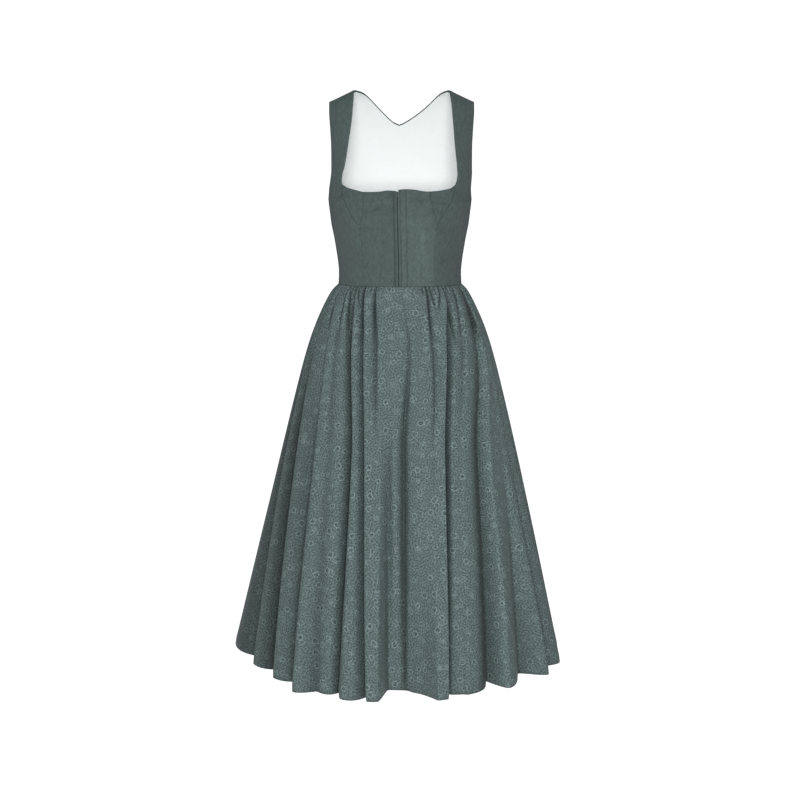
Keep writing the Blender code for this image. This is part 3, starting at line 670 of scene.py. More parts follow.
        k = np.clip(np.floor(folds).astype(int), 0, len(self.folds) - 1)
        part = 2 * (folds - k)[:, None]
        second = part > 1
        t = np.where(second, part - 1, part)
        width = np.where(second, after[k], before[k])
        offset = cubic(t, np.where(second, crest[k], valley[k]),
                       np.where(second, valley[k + 1], crest[k]), width,
                       np.where(second, at_crest[k], leaving[k]),
                       np.where(second, reaching[k], at_crest[k]))
        turn = angle[k] + np.where(second, before[k], 0.0) + t * width
        return turn.T, offset.T

    def gathered(self, turn: Array, drop: Array, radius: Array) -> tuple[Array, Array]:
        """Depth and painted shade of the gathers.

        Args:
            turn: angle of each point.
            drop: its depth below the waist seam.
            radius: its distance from the middle.

        Returns:
            The depth in metres, a pinched groove across each gather between two low swells that
            fades at both ends, and the painted shade in the grooves, from 0 to 1.
        """
        depth, shade = np.zeros_like(turn), np.zeros_like(turn)
        for g in self.gathers:
            along = np.clip((drop - g.start) / (g.end - g.start), 0, self.overrun)
            middle = g.top + (g.foot - g.top) * along
            angle = np.radians((turn - middle + 180) % 360 - 180)
            across = np.abs(angle) * radius / MM / (g.width * (1 + self.gather_spread * drop))
            start = step_up(drop, *(g.start + d for d in self.fade_in))
            fade = g.depth * start * step_up(drop, *(share * g.end for share in self.fade_out))
            swell = self.swell * bell(across / self.swell_width)
            groove = np.exp(-across ** self.groove_power) - swell
            depth += MM * self.gather_depth * fade * groove
            shade = np.maximum(shade, self.gather_shade * fade * bell(self.shade_narrow * across))
        return depth, np.clip(shade, 0, 1)


class Nodes:
    """Writes the node tree of one material."""

    def __init__(self, name: str, roughness: float) -> None:
        """Start a material with a Principled shader.

        Args:
            name: its name.
            roughness: of the shader.
        """
        self.material = bpy.data.materials.new(name)
        self.material.use_nodes = True
        self.tree = self.material.node_tree
        self.shader = self.tree.nodes["Principled BSDF"]
        self.set_shader(Roughness=roughness)

    def set_shader(self, **inputs: Any) -> None:
        """Link or set inputs of the shader, named with _ for a space."""
        for name, value in inputs.items():
            self.feed(self.shader.inputs[name.replace("_", " ")], value)

    def feed(self, socket: Any, value: Any) -> None:
        """Link a socket to another one, or set its value."""
        if isinstance(value, Socket):
            self.tree.links.new(value, socket)
        else:
            socket.default_value = value

    def add(self, kind: str, settings: dict[str, Any] | None = None, *values: Any,
            **inputs: Any) -> bpy.types.Node:
        """Add a node.

        Args:
            kind: its type, without the prefix of shader nodes.
            settings: its properties.
            values: values or sockets for its first inputs, in order.
            inputs: the same for inputs by name, with _ for a space.

        Returns:
            The node.
        """
        node = self.tree.nodes.new("ShaderNode" + kind)
        for name, value in (settings or {}).items():
            setattr(node, name, value)
        for socket, value in zip(node.inputs, values):
            self.feed(socket, value)
        for name, value in inputs.items():
            self.feed(node.inputs[name.replace("_", " ")], value)
        return node

    def maths(self, operation: str, *values: Any) -> Socket:
        """One step of arithmetic on numbers."""
        return self.add("Math", {"operation": operation}, *values).outputs[0]

    def times(self, first: Any, second: Any) -> Socket:
        """The product of two numbers."""
        return self.maths("MULTIPLY", first, second)

    def total(self, start: Any, *terms: tuple[Any, float]) -> Socket:
        """A start plus each value times its weight."""
        for value, weight in terms:
            start = self.maths("MULTIPLY_ADD", value, weight, start)
        return start

    def vectors(self, operation: str, *values: Any) -> Socket:
        """One step of arithmetic on vectors: a number for LENGTH, a vector otherwise."""
        node = self.add("VectorMath", {"operation": operation}, *values)
        return node.outputs["Value" if operation == "LENGTH" else "Vector"]

    def axes(self, vector: Any) -> Any:
        """The three numbers of a vector."""
        return self.add("SeparateXYZ", Vector=vector).outputs

    def step(self, value: Any, low: float, high: float) -> Socket:
        """Rise smoothly from 0 at low to 1 at high; low above high makes it fall."""
        start = 1.0 if low > high else 0.0
        return self.add("MapRange", {"interpolation_type": "SMOOTHSTEP"}, Value=value,
                        From_Min=min(low, high), From_Max=max(low, high),
                        To_Min=start, To_Max=1.0 - start).outputs["Result"]

    def noise(self, vector: Any, size: float, detail: float = 2.0) -> Socket:
        """Soft noise around 0.5, with patches of about the given size in metres."""
        return self.add("TexNoise", {"noise_dimensions": "2D"}, Vector=vector, Scale=1.0 / size,
                        Detail=detail, Roughness=0.55).outputs[0]

    def grain(self, scale: float) -> Socket:
        """Noise that goes through the piece, for surfaces with no place on a cloth."""
        place = self.add("TexCoord").outputs["Object"]
        return self.add("TexNoise", Vector=place, Scale=scale, Detail=2.0).outputs[0]

    def attribute(self, name: str) -> Socket:
        """A number that the mesh carries at each point."""
        return self.add("Attribute", {"attribute_name": name}).outputs["Fac"]

    def cloth_uv(self) -> Socket:
        """Place on the cut cloth, in metres."""
        return self.add("UVMap", {"uv_map": "cloth"}).outputs["UV"]

    def tinted(self, colour: Triple, tone: Any) -> None:
        """Set the colour, multiplied by a tone."""
        scaled = self.add("VectorMath", {"operation": "SCALE"}, colour, Scale=tone)
        self.set_shader(Base_Color=scaled.outputs[0])

    def finish(self, colour: Triple, tone: Any, height: Any, distance: float, sheen: float,
               specular: float) -> Material:
        """Complete the shader.

        Args:
            colour: base colour.
            tone: number that multiplies it.
            height: height of the bump.
            distance: what a height of 1 stands for, in metres.
            sheen: weight of the sheen.
            specular: specular level.

        Returns:
            The material.
        """
        self.tinted(colour, tone)
        bump = self.add("Bump", Height=height, Distance=distance, Strength=1.0)
        self.set_shader(Normal=bump.outputs["Normal"], Sheen_Weight=sheen,
                        Specular_IOR_Level=specular)
        return self.material


@dataclass(frozen=True)
class TwillFinish:
    """Plain dark grey-green twill of the bodice."""

    colour: Triple = (0.081, 0.113, 0.1085)
    pitch: float = 0.0011           # from one rib of the weave to the next, along the cloth
    slub: float = 0.0030
    streak: float = 0.0026
    blotch: float = 0.0075
    patch: float = 0.045
    roughness: float = 0.86

    def material(self) -> Material:
        """Make the material.

        Returns:
            Diagonal ribs with slubs and streaks, darker beside the seams.
        """
        nodes = Nodes("bodice_twill", self.roughness)
        uv = nodes.cloth_uv()
        place = nodes.axes(uv)
        diagonal = nodes.maths("ADD", place[0], nodes.times(place[1], 0.6))
        rib = nodes.maths("SINE", nodes.times(diagonal, 2 * math.pi / self.pitch))
        slub = nodes.noise(uv, self.slub, 3.0)
        streak = nodes.noise(nodes.vectors("MULTIPLY", uv, (1.0, 0.40, 0.0)), self.streak, 3.0)
        blotch = nodes.noise(nodes.vectors("MULTIPLY", uv, (1.0, 0.55, 0.0)), self.blotch, 3.0)
        tone = nodes.total(0.28, (slub, 0.50), (blotch, 0.50), (streak, 0.44), (rib, 0.05))
        tone = nodes.times(tone, nodes.total(0.94, (nodes.noise(uv, self.patch, 1.0), 0.12)))
        # Painted shade beside the seams and in the stitched grooves, then the painted light and
        # shade carried in the tone.
        tone = nodes.times(tone, nodes.total(1.0, (nodes.attribute("seam"), -0.50)))
        tone = nodes.times(tone, nodes.attribute("tone"))
        return nodes.finish(self.colour, tone, nodes.total(slub, (rib, 0.35)), 0.00025, 0.06, 0.25)


class Motifs(NamedTuple):
    """One scattering of small flowers: their spacing, size and place in the cloth."""

    spacing: float
    radius: float
    line: float
    shift: Triple


@dataclass(frozen=True)
class PrintFinish:
    """Grey-green cotton of the skirt, with a small tone-on-tone flower print."""

    colour: Triple = (0.099, 0.137, 0.134)
    roughness: float = 0.84
    maze_cell: float = 0.0080
    maze_pitch: float = 0.0054
    dot: float = 0.0030
    patch: float = 0.060
    weave: float = 0.0008
    large: Motifs = Motifs(0.026, 0.0049, 0.0012, (0.013, 0.021, 0.0))
    small: Motifs = Motifs(0.019, 0.0039, 0.0011, (0.271, 0.133, 0.0))
    ring_share: float = 0.58
    disc_share: float = 0.22

    def flowers(self, nodes: Nodes, uv: Any, motifs: Motifs) -> tuple[Any, Any]:
        """Rings, filled discs and five-petalled rosettes, one to a cell of the cloth.

        Args:
            nodes: the material being written.
            uv: place on the cloth.
            motifs: their spacing and size.

        Returns:
            How light each point is printed, and how dark, each from 0 to 1.
        """
        place = nodes.vectors("ADD", uv, motifs.shift)
        cell = nodes.add("TexVoronoi", {"voronoi_dimensions": "2D"}, Vector=place,
                         Scale=1.0 / motifs.spacing, Randomness=0.9)
        size, kind, luck = nodes.add("SeparateColor", Color=cell.outputs["Color"]).outputs
        offset = nodes.vectors("SUBTRACT", place, cell.outputs["Position"])
        distance = nodes.vectors("LENGTH", offset)
        axes = nodes.axes(offset)
        petals = nodes.maths("COSINE", nodes.times(nodes.maths("ARCTAN2", axes[1], axes[0]), 5.0))
        radius = nodes.total(0.79 * motifs.radius, (size, 0.42 * motifs.radius))
        edge = nodes.maths("SUBTRACT", distance, radius)

        is_ring = nodes.maths("LESS_THAN", kind, self.ring_share)
        is_rosette = nodes.maths("GREATER_THAN", kind, self.ring_share + self.disc_share)
        is_disc = nodes.maths("SUBTRACT", 1.0, nodes.maths("ADD", is_ring, is_rosette))
        ring = nodes.step(nodes.maths("ABSOLUTE", edge), 1.35 * motifs.line, 0.45 * motifs.line)
        disc = nodes.step(edge, 0.0008, -0.0008)
        lobed = nodes.maths("ABSOLUTE", nodes.total(edge, (petals, -0.28 * motifs.radius)))
        rosette = nodes.step(lobed, 1.3 * motifs.line, 0.4 * motifs.line)
        heart = nodes.step(distance, 0.36 * motifs.radius, 0.16 * motifs.radius)
        flower = nodes.maths("MAXIMUM", rosette, heart)
        light = nodes.total(nodes.times(ring, is_ring), (nodes.times(disc, is_disc), 0.55),
                            (nodes.times(flower, is_rosette), 0.8))
        dark = nodes.times(nodes.step(edge, -0.2 * motifs.line, -1.6 * motifs.line), is_ring)
        shown = nodes.step(luck, 0.16, 0.30)
        return nodes.times(light, shown), nodes.times(dark, shown)

    def material(self) -> Material:
        """Make the material.

        Returns:
            Flowers in two sizes over a ground of fine squiggles and dots.
        """
        nodes = Nodes("skirt_print", self.roughness)
        uv = nodes.cloth_uv()
        maze = nodes.add("TexGabor", {"gabor_type": "2D"}, Vector=uv, Scale=1.0 / self.maze_cell,
                         Frequency=self.maze_cell / self.maze_pitch, Anisotropy=0.0)
        squiggle = nodes.maths("SUBTRACT", nodes.step(maze.outputs["Value"], 0.36, 0.64), 0.5)
        tone = nodes.total(0.49, (squiggle, 0.60), (nodes.noise(uv, self.dot), 1.0))
        tone = nodes.times(tone, nodes.total(0.95, (nodes.noise(uv, self.patch, 1.0), 0.10)))
        for motifs, strength in ((self.large, 0.66), (self.small, 0.42)):
            light, dark = self.flowers(nodes, uv, motifs)
            tone = nodes.total(tone, (light, strength), (dark, -0.30 * strength))
        # Painted shade in the skirt's folds and gathers, and painted light on lit edges, from the
        # mesh.
        tone = nodes.times(tone, nodes.total(1.0, (nodes.attribute("deep"), -0.72)))
        return nodes.finish(self.colour, tone, nodes.noise(uv, self.weave), 0.00015, 0.05, 0.25)


@dataclass(frozen=True)
class LiningFinish:
    """Smooth white lining."""

    colour: Triple = (0.90, 0.93, 0.925)
    thread: float = 0.0009
    slub: float = 0.012
    roughness: float = 0.62

    def material(self) -> Material:
        """Make the material.

        Returns:
            Fine upright threads with faint slubs, and painted shade beside the seams.
        """
        nodes = Nodes("lining_white", self.roughness)
        uv = nodes.cloth_uv()
        thread = nodes.noise(nodes.vectors("MULTIPLY", uv, (1.0, 0.12, 0.0)), self.thread)
        slub = nodes.noise(uv, self.slub)
        # Painted shade beside the seams.
        tone = nodes.times(nodes.total(0.975, (thread, 0.03), (slub, 0.02)),
                           nodes.total(1.0, (nodes.attribute("seam"), -0.10)))
        return nodes.finish(self.colour, tone, nodes.total(thread, (slub, 1.5)), 0.0002, 0.0, 0.35)


@dataclass(frozen=True)
class TapeFinish:
    """Herringbone zip tape, nearly black green."""

    colour: Triple = (0.022, 0.032, 0.030)
    rib: float = 0.0010
    lean: float = 0.0016            # width over which the ribs lean one way
    roughness: float = 0.75

    def material(self) -> Material:
        """Make the material.

        Returns:
            Ribs that lean one way and then the other across the tape.
        """
        nodes = Nodes("zip_tape", self.roughness)
        place = nodes.axes(nodes.cloth_uv())
        slope = nodes.maths("ADD", place[1], nodes.maths("PINGPONG", place[0], self.lean))
        rib = nodes.maths("SINE", nodes.times(slope, 2 * math.pi / self.rib))
        return nodes.finish(self.colour, nodes.total(1.0, (rib, 0.22)), rib, 0.0001, 0.0, 0.3)


class Hard(Enum):
    """Small hard or shiny parts: name, colour, roughness and grain in metres."""

    TEETH = ("zip_teeth", (0.012, 0.016, 0.015), 0.45, 0.0006)
    SLIDER = ("zip_slider", (0.014, 0.019, 0.018), 0.40, 0.0015)
    THREAD = ("sewing_thread", (0.060, 0.082, 0.078), 0.70, 0.0004)

    def material(self) -> Material:
        """Make the material.

        Returns:
            A slightly worn surface, its colour and roughness broken by a fine grain.
        """
        name, colour, roughness, grain_size = self.value
        nodes = Nodes(name, roughness)
        grain = nodes.grain(1.0 / grain_size)
        nodes.set_shader(Roughness=nodes.total(roughness - 0.1, (grain, 0.2)))
        return nodes.finish(colour, nodes.total(0.8, (grain, 0.4)), grain, 0.00005, 0.0, 0.2)


class Finishes:
    """The materials of the dress, made once."""

    def __init__(self) -> None:
        """Make them all."""
        self.twill, self.printed, self.lining, self.tape = (
            finish().material() for finish in (TwillFinish, PrintFinish, LiningFinish, TapeFinish))
        self.teeth, self.slider, self.thread = (hard.material() for hard in Hard)


def put(name: str, data: Any) -> Piece:
    """Put new data into the scene.

    Args:
        name: the object's name.
        data: its mesh, light or camera.

    Returns:
        The object.
    """
    thing = bpy.data.objects.new(name, data)
    bpy.context.scene.collection.objects.link(thing)
    return thing


def mesh_piece(name: str, vertices: Array, faces: Array, materials: Sequence[Material],
               smooth: bool = True) -> Piece:
    """Make an object at the origin.

    Args:
        name: its name.
        vertices: its points.
        faces: numbers of the points of each face.
        materials: its materials, the first one for all faces.
        smooth: whether it is shaded smooth.

    Returns:
        The object.
    """
    mesh = bpy.data.meshes.new(name)
    mesh.from_pydata(vertices.reshape(-1, 3).tolist(), [], faces.tolist())
    mesh.polygons.foreach_set("use_smooth", np.full(len(mesh.polygons), smooth))
    for material in materials:
        mesh.materials.append(material)
    return put(name, mesh)


def dress(piece: Piece, slot: str, *nodes: str) -> None:
    """Let a piece ride on the dress, stand for its nodes, and report it.

    Args:
        piece: the piece.
        slot: its material slot; not used.
        nodes: the nodes that it stands for.
    """
    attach(piece, "root")
    if nodes:
        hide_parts(*nodes)
    size = [round(d / MM) for d in piece.dimensions]
    log.info("%s: %d faces, %s mm", piece.name, len(piece.data.polygons), size)


@dataclass
class Cloth:
    """The mesh of a piece of cloth, as arrays."""

    vertices: Array
    faces: Array
    side: Array                     # of each face: 0 outside, 1 inside, 2 on the cut edge
    uv: Array                       # for each corner of each face, in metres of cut cloth
    attributes: dict[str, Array]

    @classmethod
    def shell(cls, outer: Array, normals: Array, wall: Array | float, uv: Array,
              **attributes: Array) -> Cloth:
        """A closed piece of cloth from a grid of outer points, with a strip along each border.

        Args:
            outer: points of the outer face, rows going up.
            normals: unit normals of the outer face.
            wall: thickness at each point; the inner face lies this far in along the normal.
            uv: place of each point on the cut cloth, in metres.
            attributes: numbers to carry at each point of the grid.

        Returns:
            The cloth.
        """
        shape = outer.shape[:2]
        inner = outer - normals * np.broadcast_to(wall, shape)[..., None]
        i = np.arange(outer[..., 0].size).reshape(shape)
        corners = (i[:-1, :-1], i[:-1, 1:], i[1:, 1:], i[1:, :-1])
        outside = np.stack(corners, axis=-1).reshape(-1, 4)
        loop = np.concatenate((i[0, :-1], i[:-1, -1], i[-1, :0:-1], i[:0:-1, 0]))
        after = np.roll(loop, -1)
        rim = np.stack((after, loop, loop + i.size, after + i.size), axis=-1)
        faces = np.concatenate((outside, outside[:, ::-1] + i.size, rim))
        return cls(np.concatenate((outer.reshape(-1, 3), inner.reshape(-1, 3))), faces,
                   np.repeat((0, 1, 2), (len(outside), len(outside), len(rim))),
                   uv.reshape(-1, 2)[faces % i.size],
                   {key: np.tile(np.broadcast_to(values, shape).ravel(), 2)
                    for key, values in attributes.items()})

    def welded(self, other: Cloth, here: Array, there: Array) -> Cloth:
        """Join another cloth along a shared edge, without the cut edges that the two have there.

        Args:
            other: the cloth to join.
            here: numbers of this cloth's points along the edge.
            there: numbers of the other cloth's points at the same places.

        Returns:
            The joined cloth.
        """
        mine = ~np.isin(self.faces, here).all(axis=1)
        theirs = ~np.isin(other.faces, there).all(axis=1)
        kept = np.setdiff1d(np.arange(len(other.vertices)), there)
        number = np.empty(len(other.vertices), int)
        number[kept] = len(self.vertices) + np.arange(len(kept))
        number[there] = here

        def both(first: Array, second: Array) -> Array:
            """What is left of the two cloths' faces."""
            return np.concatenate((first[mine], second[theirs]))

        return Cloth(np.concatenate((self.vertices, other.vertices[kept])),
                     both(self.faces, number[other.faces]), both(self.side, other.side),
                     both(self.uv, other.uv),
                     {key: np.concatenate((values, other.attributes[key][kept]))
                      for key, values in self.attributes.items()})

    def piece(self, name: str, *materials: Material) -> Piece:
        """Make the piece.

        Args:
            name: its name.
            materials: its material, and a second one for the inner side if there is one.

        Returns:
            The object, with its place on the cut cloth and its attributes.
        """
        made = mesh_piece(name, self.vertices, self.faces, materials)
        mesh = made.data
        mesh.polygons.foreach_set("use_smooth", self.side < 2)
        if len(materials) > 1:
            mesh.polygons.foreach_set("material_index", (self.side == 1).astype(int))
        mesh.uv_layers.new(name="cloth").data.foreach_set("uv", self.uv.ravel())
        for key, values in self.attributes.items():
            mesh.attributes.new(key, "FLOAT", "POINT").data.foreach_set("value", values)
        return made


def cut_plan(points: Array) -> Array:
    """Lay a grid flat, as the cloth was cut.

    Args:
        points: the grid as worn.

    Returns:
        The place of each point: its way along its row from the middle, and up the middle column.
    """
    across, up = lengths(points, 1), lengths(points, 0)
    middle = points.shape[1] // 2
    u = across - across[:, middle:middle + 1]
    return np.stack((u, np.broadcast_to(up[:, middle:middle + 1], u.shape)), axis=-1)


def cut_size(uv: Array) -> Array:
    """Width and length of the rectangle that holds a cut piece."""
    return np.ptp(uv.reshape(-1, 2), axis=0)


def declare_cut(size: Sequence[float], area: float) -> None:
    """Round the width, length and area of the flat piece of cloth; they are not used further.

    Args:
        size: width and length of the rectangle that holds it when flat.
        area: its area.
    """
    width, length = (round(float(s) + 0.0005, 3) for s in size)
    area = round(min(area, width * length), 5)


DRAWN_REACH = 0.012             # from a border, over which its shift fades


def drawn_in(points: Array, first_gap: Any, last_gap: Any) -> Array:
    """Draw both side borders of a grid in along its rows, level, and their neighbours with them.

    Args:
        points: the grid.
        first_gap: the gap to leave at the first column, half of it here, for all rows or each.
        last_gap: the same at the last column.

    Returns:
        The grid, with each row's shift fading away from the border.
    """
    for sign, gap in ((1.0, first_gap), (-1.0, last_gap)):
        across = lengths(points, 1)
        distance = across if sign > 0 else across[:, -1:] - across
        along = unit(np.gradient(points, axis=1) * (1, 1, 0))
        shift = 0.5 * gap * np.clip(1 - distance / DRAWN_REACH, 0, 1)
        points = points + sign * along * shift[..., None]
    return points


def on_side(points: Array, behind: bool) -> Array:
    """Whether each point is behind, or in front."""
    return points[..., 1] > 0 if behind else points[..., 1] <= 0


def creased(points: Array) -> Array:
    """Depth of the creases.

    Args:
        points: a grid of the bodice.

    Returns:
        The depth at each point in mm: a bell across each crease, fading towards its two ends.
    """
    depth = np.zeros(points.shape[:2])
    t = np.linspace(0, 1, 25)
    for crease in CREASES:
        path = np.array(crease.points)
        knots = np.linspace(0, 1, len(path))
        line = np.stack([np.interp(t, knots, path[:, axis]) for axis in (0, 1)], axis=-1)
        apart = np.linalg.norm(points[:, :, None, [0, 2]] - line, axis=3)
        fade = np.sin(np.pi * (0.12 + 0.76 * t[apart.argmin(axis=2)])) ** 0.7
        across = apart.min(axis=2) / MM / crease.width
        depth += on_side(points, crease.behind) * crease.depth * fade * bell(across)
    return depth


def painted_sheen_and_shade(points: Array) -> Array:
    """Tone of the bodice with patches of painted sheen and painted shade.

    Args:
        points: a grid of the bodice.

    Returns:
        The tone at each point: 1 plus a bell for each patch.
    """
    tone = np.ones(points.shape[:2])
    for patch in PATCHES:
        across = (points[..., 0] - patch.x) / patch.wide
        up = (points[..., 2] - patch.z) / patch.high
        tone += on_side(points, patch.behind) * patch.gain * bell(across) * bell(up)
    return tone


class TopStitch(NamedTuple):
    """A stitched groove along a border: its distance from it, depth and half width in mm, and its
    painted shade.
    """

    border: str
    distance: float
    depth: float
    width: float
    shade: float


@dataclass
class Panel:
    """A panel of the bodice, with its seams, turned edges and creases."""

    name: str
    angles: Array
    levels: Array
    sewn: dict[str, Any]                    # how far each border is sewn to a neighbour, 0 to 1
    # Painted light and shade of the whole panel.
    tone: float = 1.0
    stitches: Sequence[TopStitch] = ()
    wall: float = 0.0014
    first_gap: Any = 0.0001                 # to the neighbour, for all rows or for each
    last_gap: Any = 0.0001
    seam_dip: float = 0.0004
    waist_dip: float = 0.00005
    seam_reach: float = 0.0016
    seam_shade: float = 0.10                # painted shade of a plain seam, and of borders with their own
    border_shades: dict[str, float] = field(default_factory=lambda: {"bottom": 0.0})
    shade_reach: float = 0.0017
    edge_roll: float = 0.0010
    edge_reach: float = 0.0013
    hem_width: float = 0.0065               # of the cloth turned under at a free edge
    hem_fullness: float = 0.0003
    ripple: float = 0.00022                 # of the cloth puckered along a seam
    ripple_reach: float = 0.005
    ripple_from: float = 0.002              # distance from the seam at which it is full
    ripple_pitch: float = 0.0095
    ripple_drift: float = 0.031             # length over which the pitch wanders
    fold_step: float = 0.0012               # width of the step at the turned cloth's edge
    crease_gain: float = 0.0017
    # Painted shade in the creases, and painted light on the ridges.
    crease_shade: float = 0.20

    def borders(self, points: Array) -> list[tuple[str, Array, Array, Any]]:
        """The four borders of the grid.

        Args:
            points: the grid.

        Returns:
            For each border its name, every point's distance from it and way along it, and how
            far it is sewn.
        """
        across, up = lengths(points, 1), lengths(points, 0)
        found = []
        for name, distance, along in (
                ("first", across, up), ("last", across[:, -1:] - across, up),
                ("bottom", up, across), ("top", up[-1:] - up, across)):
            sewn = np.asarray(self.sewn.get(name, 1.0), float)
            found.append((name, distance, along, sewn[:, None] if sewn.ndim else sewn))
        return found

    def pucker(self, distance: Array, along: Array, sewn: Array, wander: Any = 0.0) -> Array:
        """Height of the ripple along a seam.

        Args:
            distance: of each point from the seam.
            along: its way along the seam.
            sewn: how far it is sewn there.
            wander: shift of the ripple, in radians.

        Returns:
            The height in metres, fading away from the seam.
        """
        wave = sewn * np.sin(along * 2 * np.pi / self.ripple_pitch + wander)
        fade = np.exp(-distance / self.ripple_reach) * step_up(distance, 0, self.ripple_from)
        return self.ripple * wave * fade

    def relief(self, points: Array) -> tuple[Array, Array]:
        """How far the cloth stands over the form, and how near it is to a seam.

        Args:
            points: the form's points.

        Returns:
            Heights in metres: a dip beside each seam with a ripple along it, a rolled edge and
            a fuller hem beside each free edge, the topstitched grooves and the creases.  Then
            the painted shade near the seams and in the stitched grooves, from 0 up.
        """
        height, seam = np.zeros(points.shape[:2]), np.zeros(points.shape[:2])
        for name, distance, along, sewn in self.borders(points):
            dip = self.waist_dip if name == "bottom" else self.seam_dip
            height -= dip * sewn * bell(distance / self.seam_reach)
            wander = 1.3 * np.sin(along * 2 * np.pi / self.ripple_drift)
            height += self.pucker(distance, along, sewn, wander)
            height -= self.edge_roll * (1 - sewn) * rolled(distance, self.edge_reach)
            turned = step_up(distance, self.hem_width + self.fold_step, self.hem_width)
            height += self.hem_fullness * (1 - sewn) * turned
            # Painted shade along each seam and in the stitched grooves.
            shade = self.border_shades.get(name, self.seam_shade)
            seam = np.maximum(seam, shade * sewn * bell(distance / self.shade_reach))
            for stitch in self.stitches:
                if stitch.border == name:
                    groove = bell((distance / MM - stitch.distance) / stitch.width)
                    height -= MM * stitch.depth * groove
                    seam = np.maximum(seam, stitch.shade * groove)
        return height - self.crease_gain * creased(points), seam

    def build(self, form: BodyForm, *materials: Material) -> None:
        """Make the panel on the form and dress it.

        Args:
            form: the form.
            materials: its material, and a second one for the inner side if there is one.
        """
        flat = form.point(self.angles, self.levels)
        normals, uv = grid_normals(flat), cut_plan(flat)
        height, seam = self.relief(flat)
        points = drawn_in(flat + normals * height[..., None], self.first_gap, self.last_gap)
        if self.angles.min() > 89:
            points[..., 1] = np.maximum(points[..., 1], 0.0)
        elif self.angles.max() < 91:
            points[..., 1] = np.minimum(points[..., 1], 0.0)
        # The tone carries painted light and shade: of the panel, of the patches, and in the
        # creases.
        tone = self.tone * painted_sheen_and_shade(points) * (1 - self.crease_shade * creased(points))
        cloth = Cloth.shell(points, normals, self.wall, uv, seam=seam, tone=tone)
        piece = cloth.piece(self.name + "_cloth", *materials)
        dress(piece, "bodice_twill", self.name)
        declare_cut(cut_size(uv), grid_area(flat))


@dataclass
class Lining(Panel):
    """A lining panel, just inside its shell panel; its inner face is the one that shows."""

    wall: float = 0.0010
    first_gap: Any = 0.0012
    last_gap: Any = 0.0012
    seam_dip: float = 0.0005
    edge_reach: float = 0.002
    shade_reach: float = 0.002
    ripple: float = 0.0002
    ripple_reach: float = 0.007
    ripple_pitch: float = 0.011
    on_fold: str = ""                       # the border that is cut on a fold of the cloth

    def cut(self, form: BodyForm) -> tuple[Cloth, Array, float]:
        """Cut the lining inside the form.

        Args:
            form: the form.

        Returns:
            The cloth, its wall thinner beside its seams, with its flat size and area.
        """
        points = drawn_in(form.point(self.angles, self.levels), self.first_gap, self.last_gap)
        normals = grid_normals(points)
        points = points - normals * (BODICE_WALL + SEAM_GAP)
        wall, seam = np.full(points.shape[:2], self.wall), np.zeros(points.shape[:2])
        for name, distance, along, sewn in self.borders(points):
            if name == self.on_fold:
                continue
            wall -= self.seam_dip * sewn * bell(distance / self.seam_reach)
            wall -= 0.5 * self.wall * (1 - sewn) * rolled(distance, self.edge_reach)
            wall += self.pucker(distance, along, sewn)
            # Painted shade beside the lining's seams.
            seam = np.maximum(seam, sewn * bell(distance / self.shade_reach))
        uv = cut_plan(points)
        return Cloth.shell(points, normals, wall, uv, seam=seam), cut_size(uv), grid_area(points)


def below(levels: Array, limit: float) -> Array:
    """1 where a border is below a level, falling to 0 just above it."""
    return step_up(levels, limit + SEWN_END, limit)


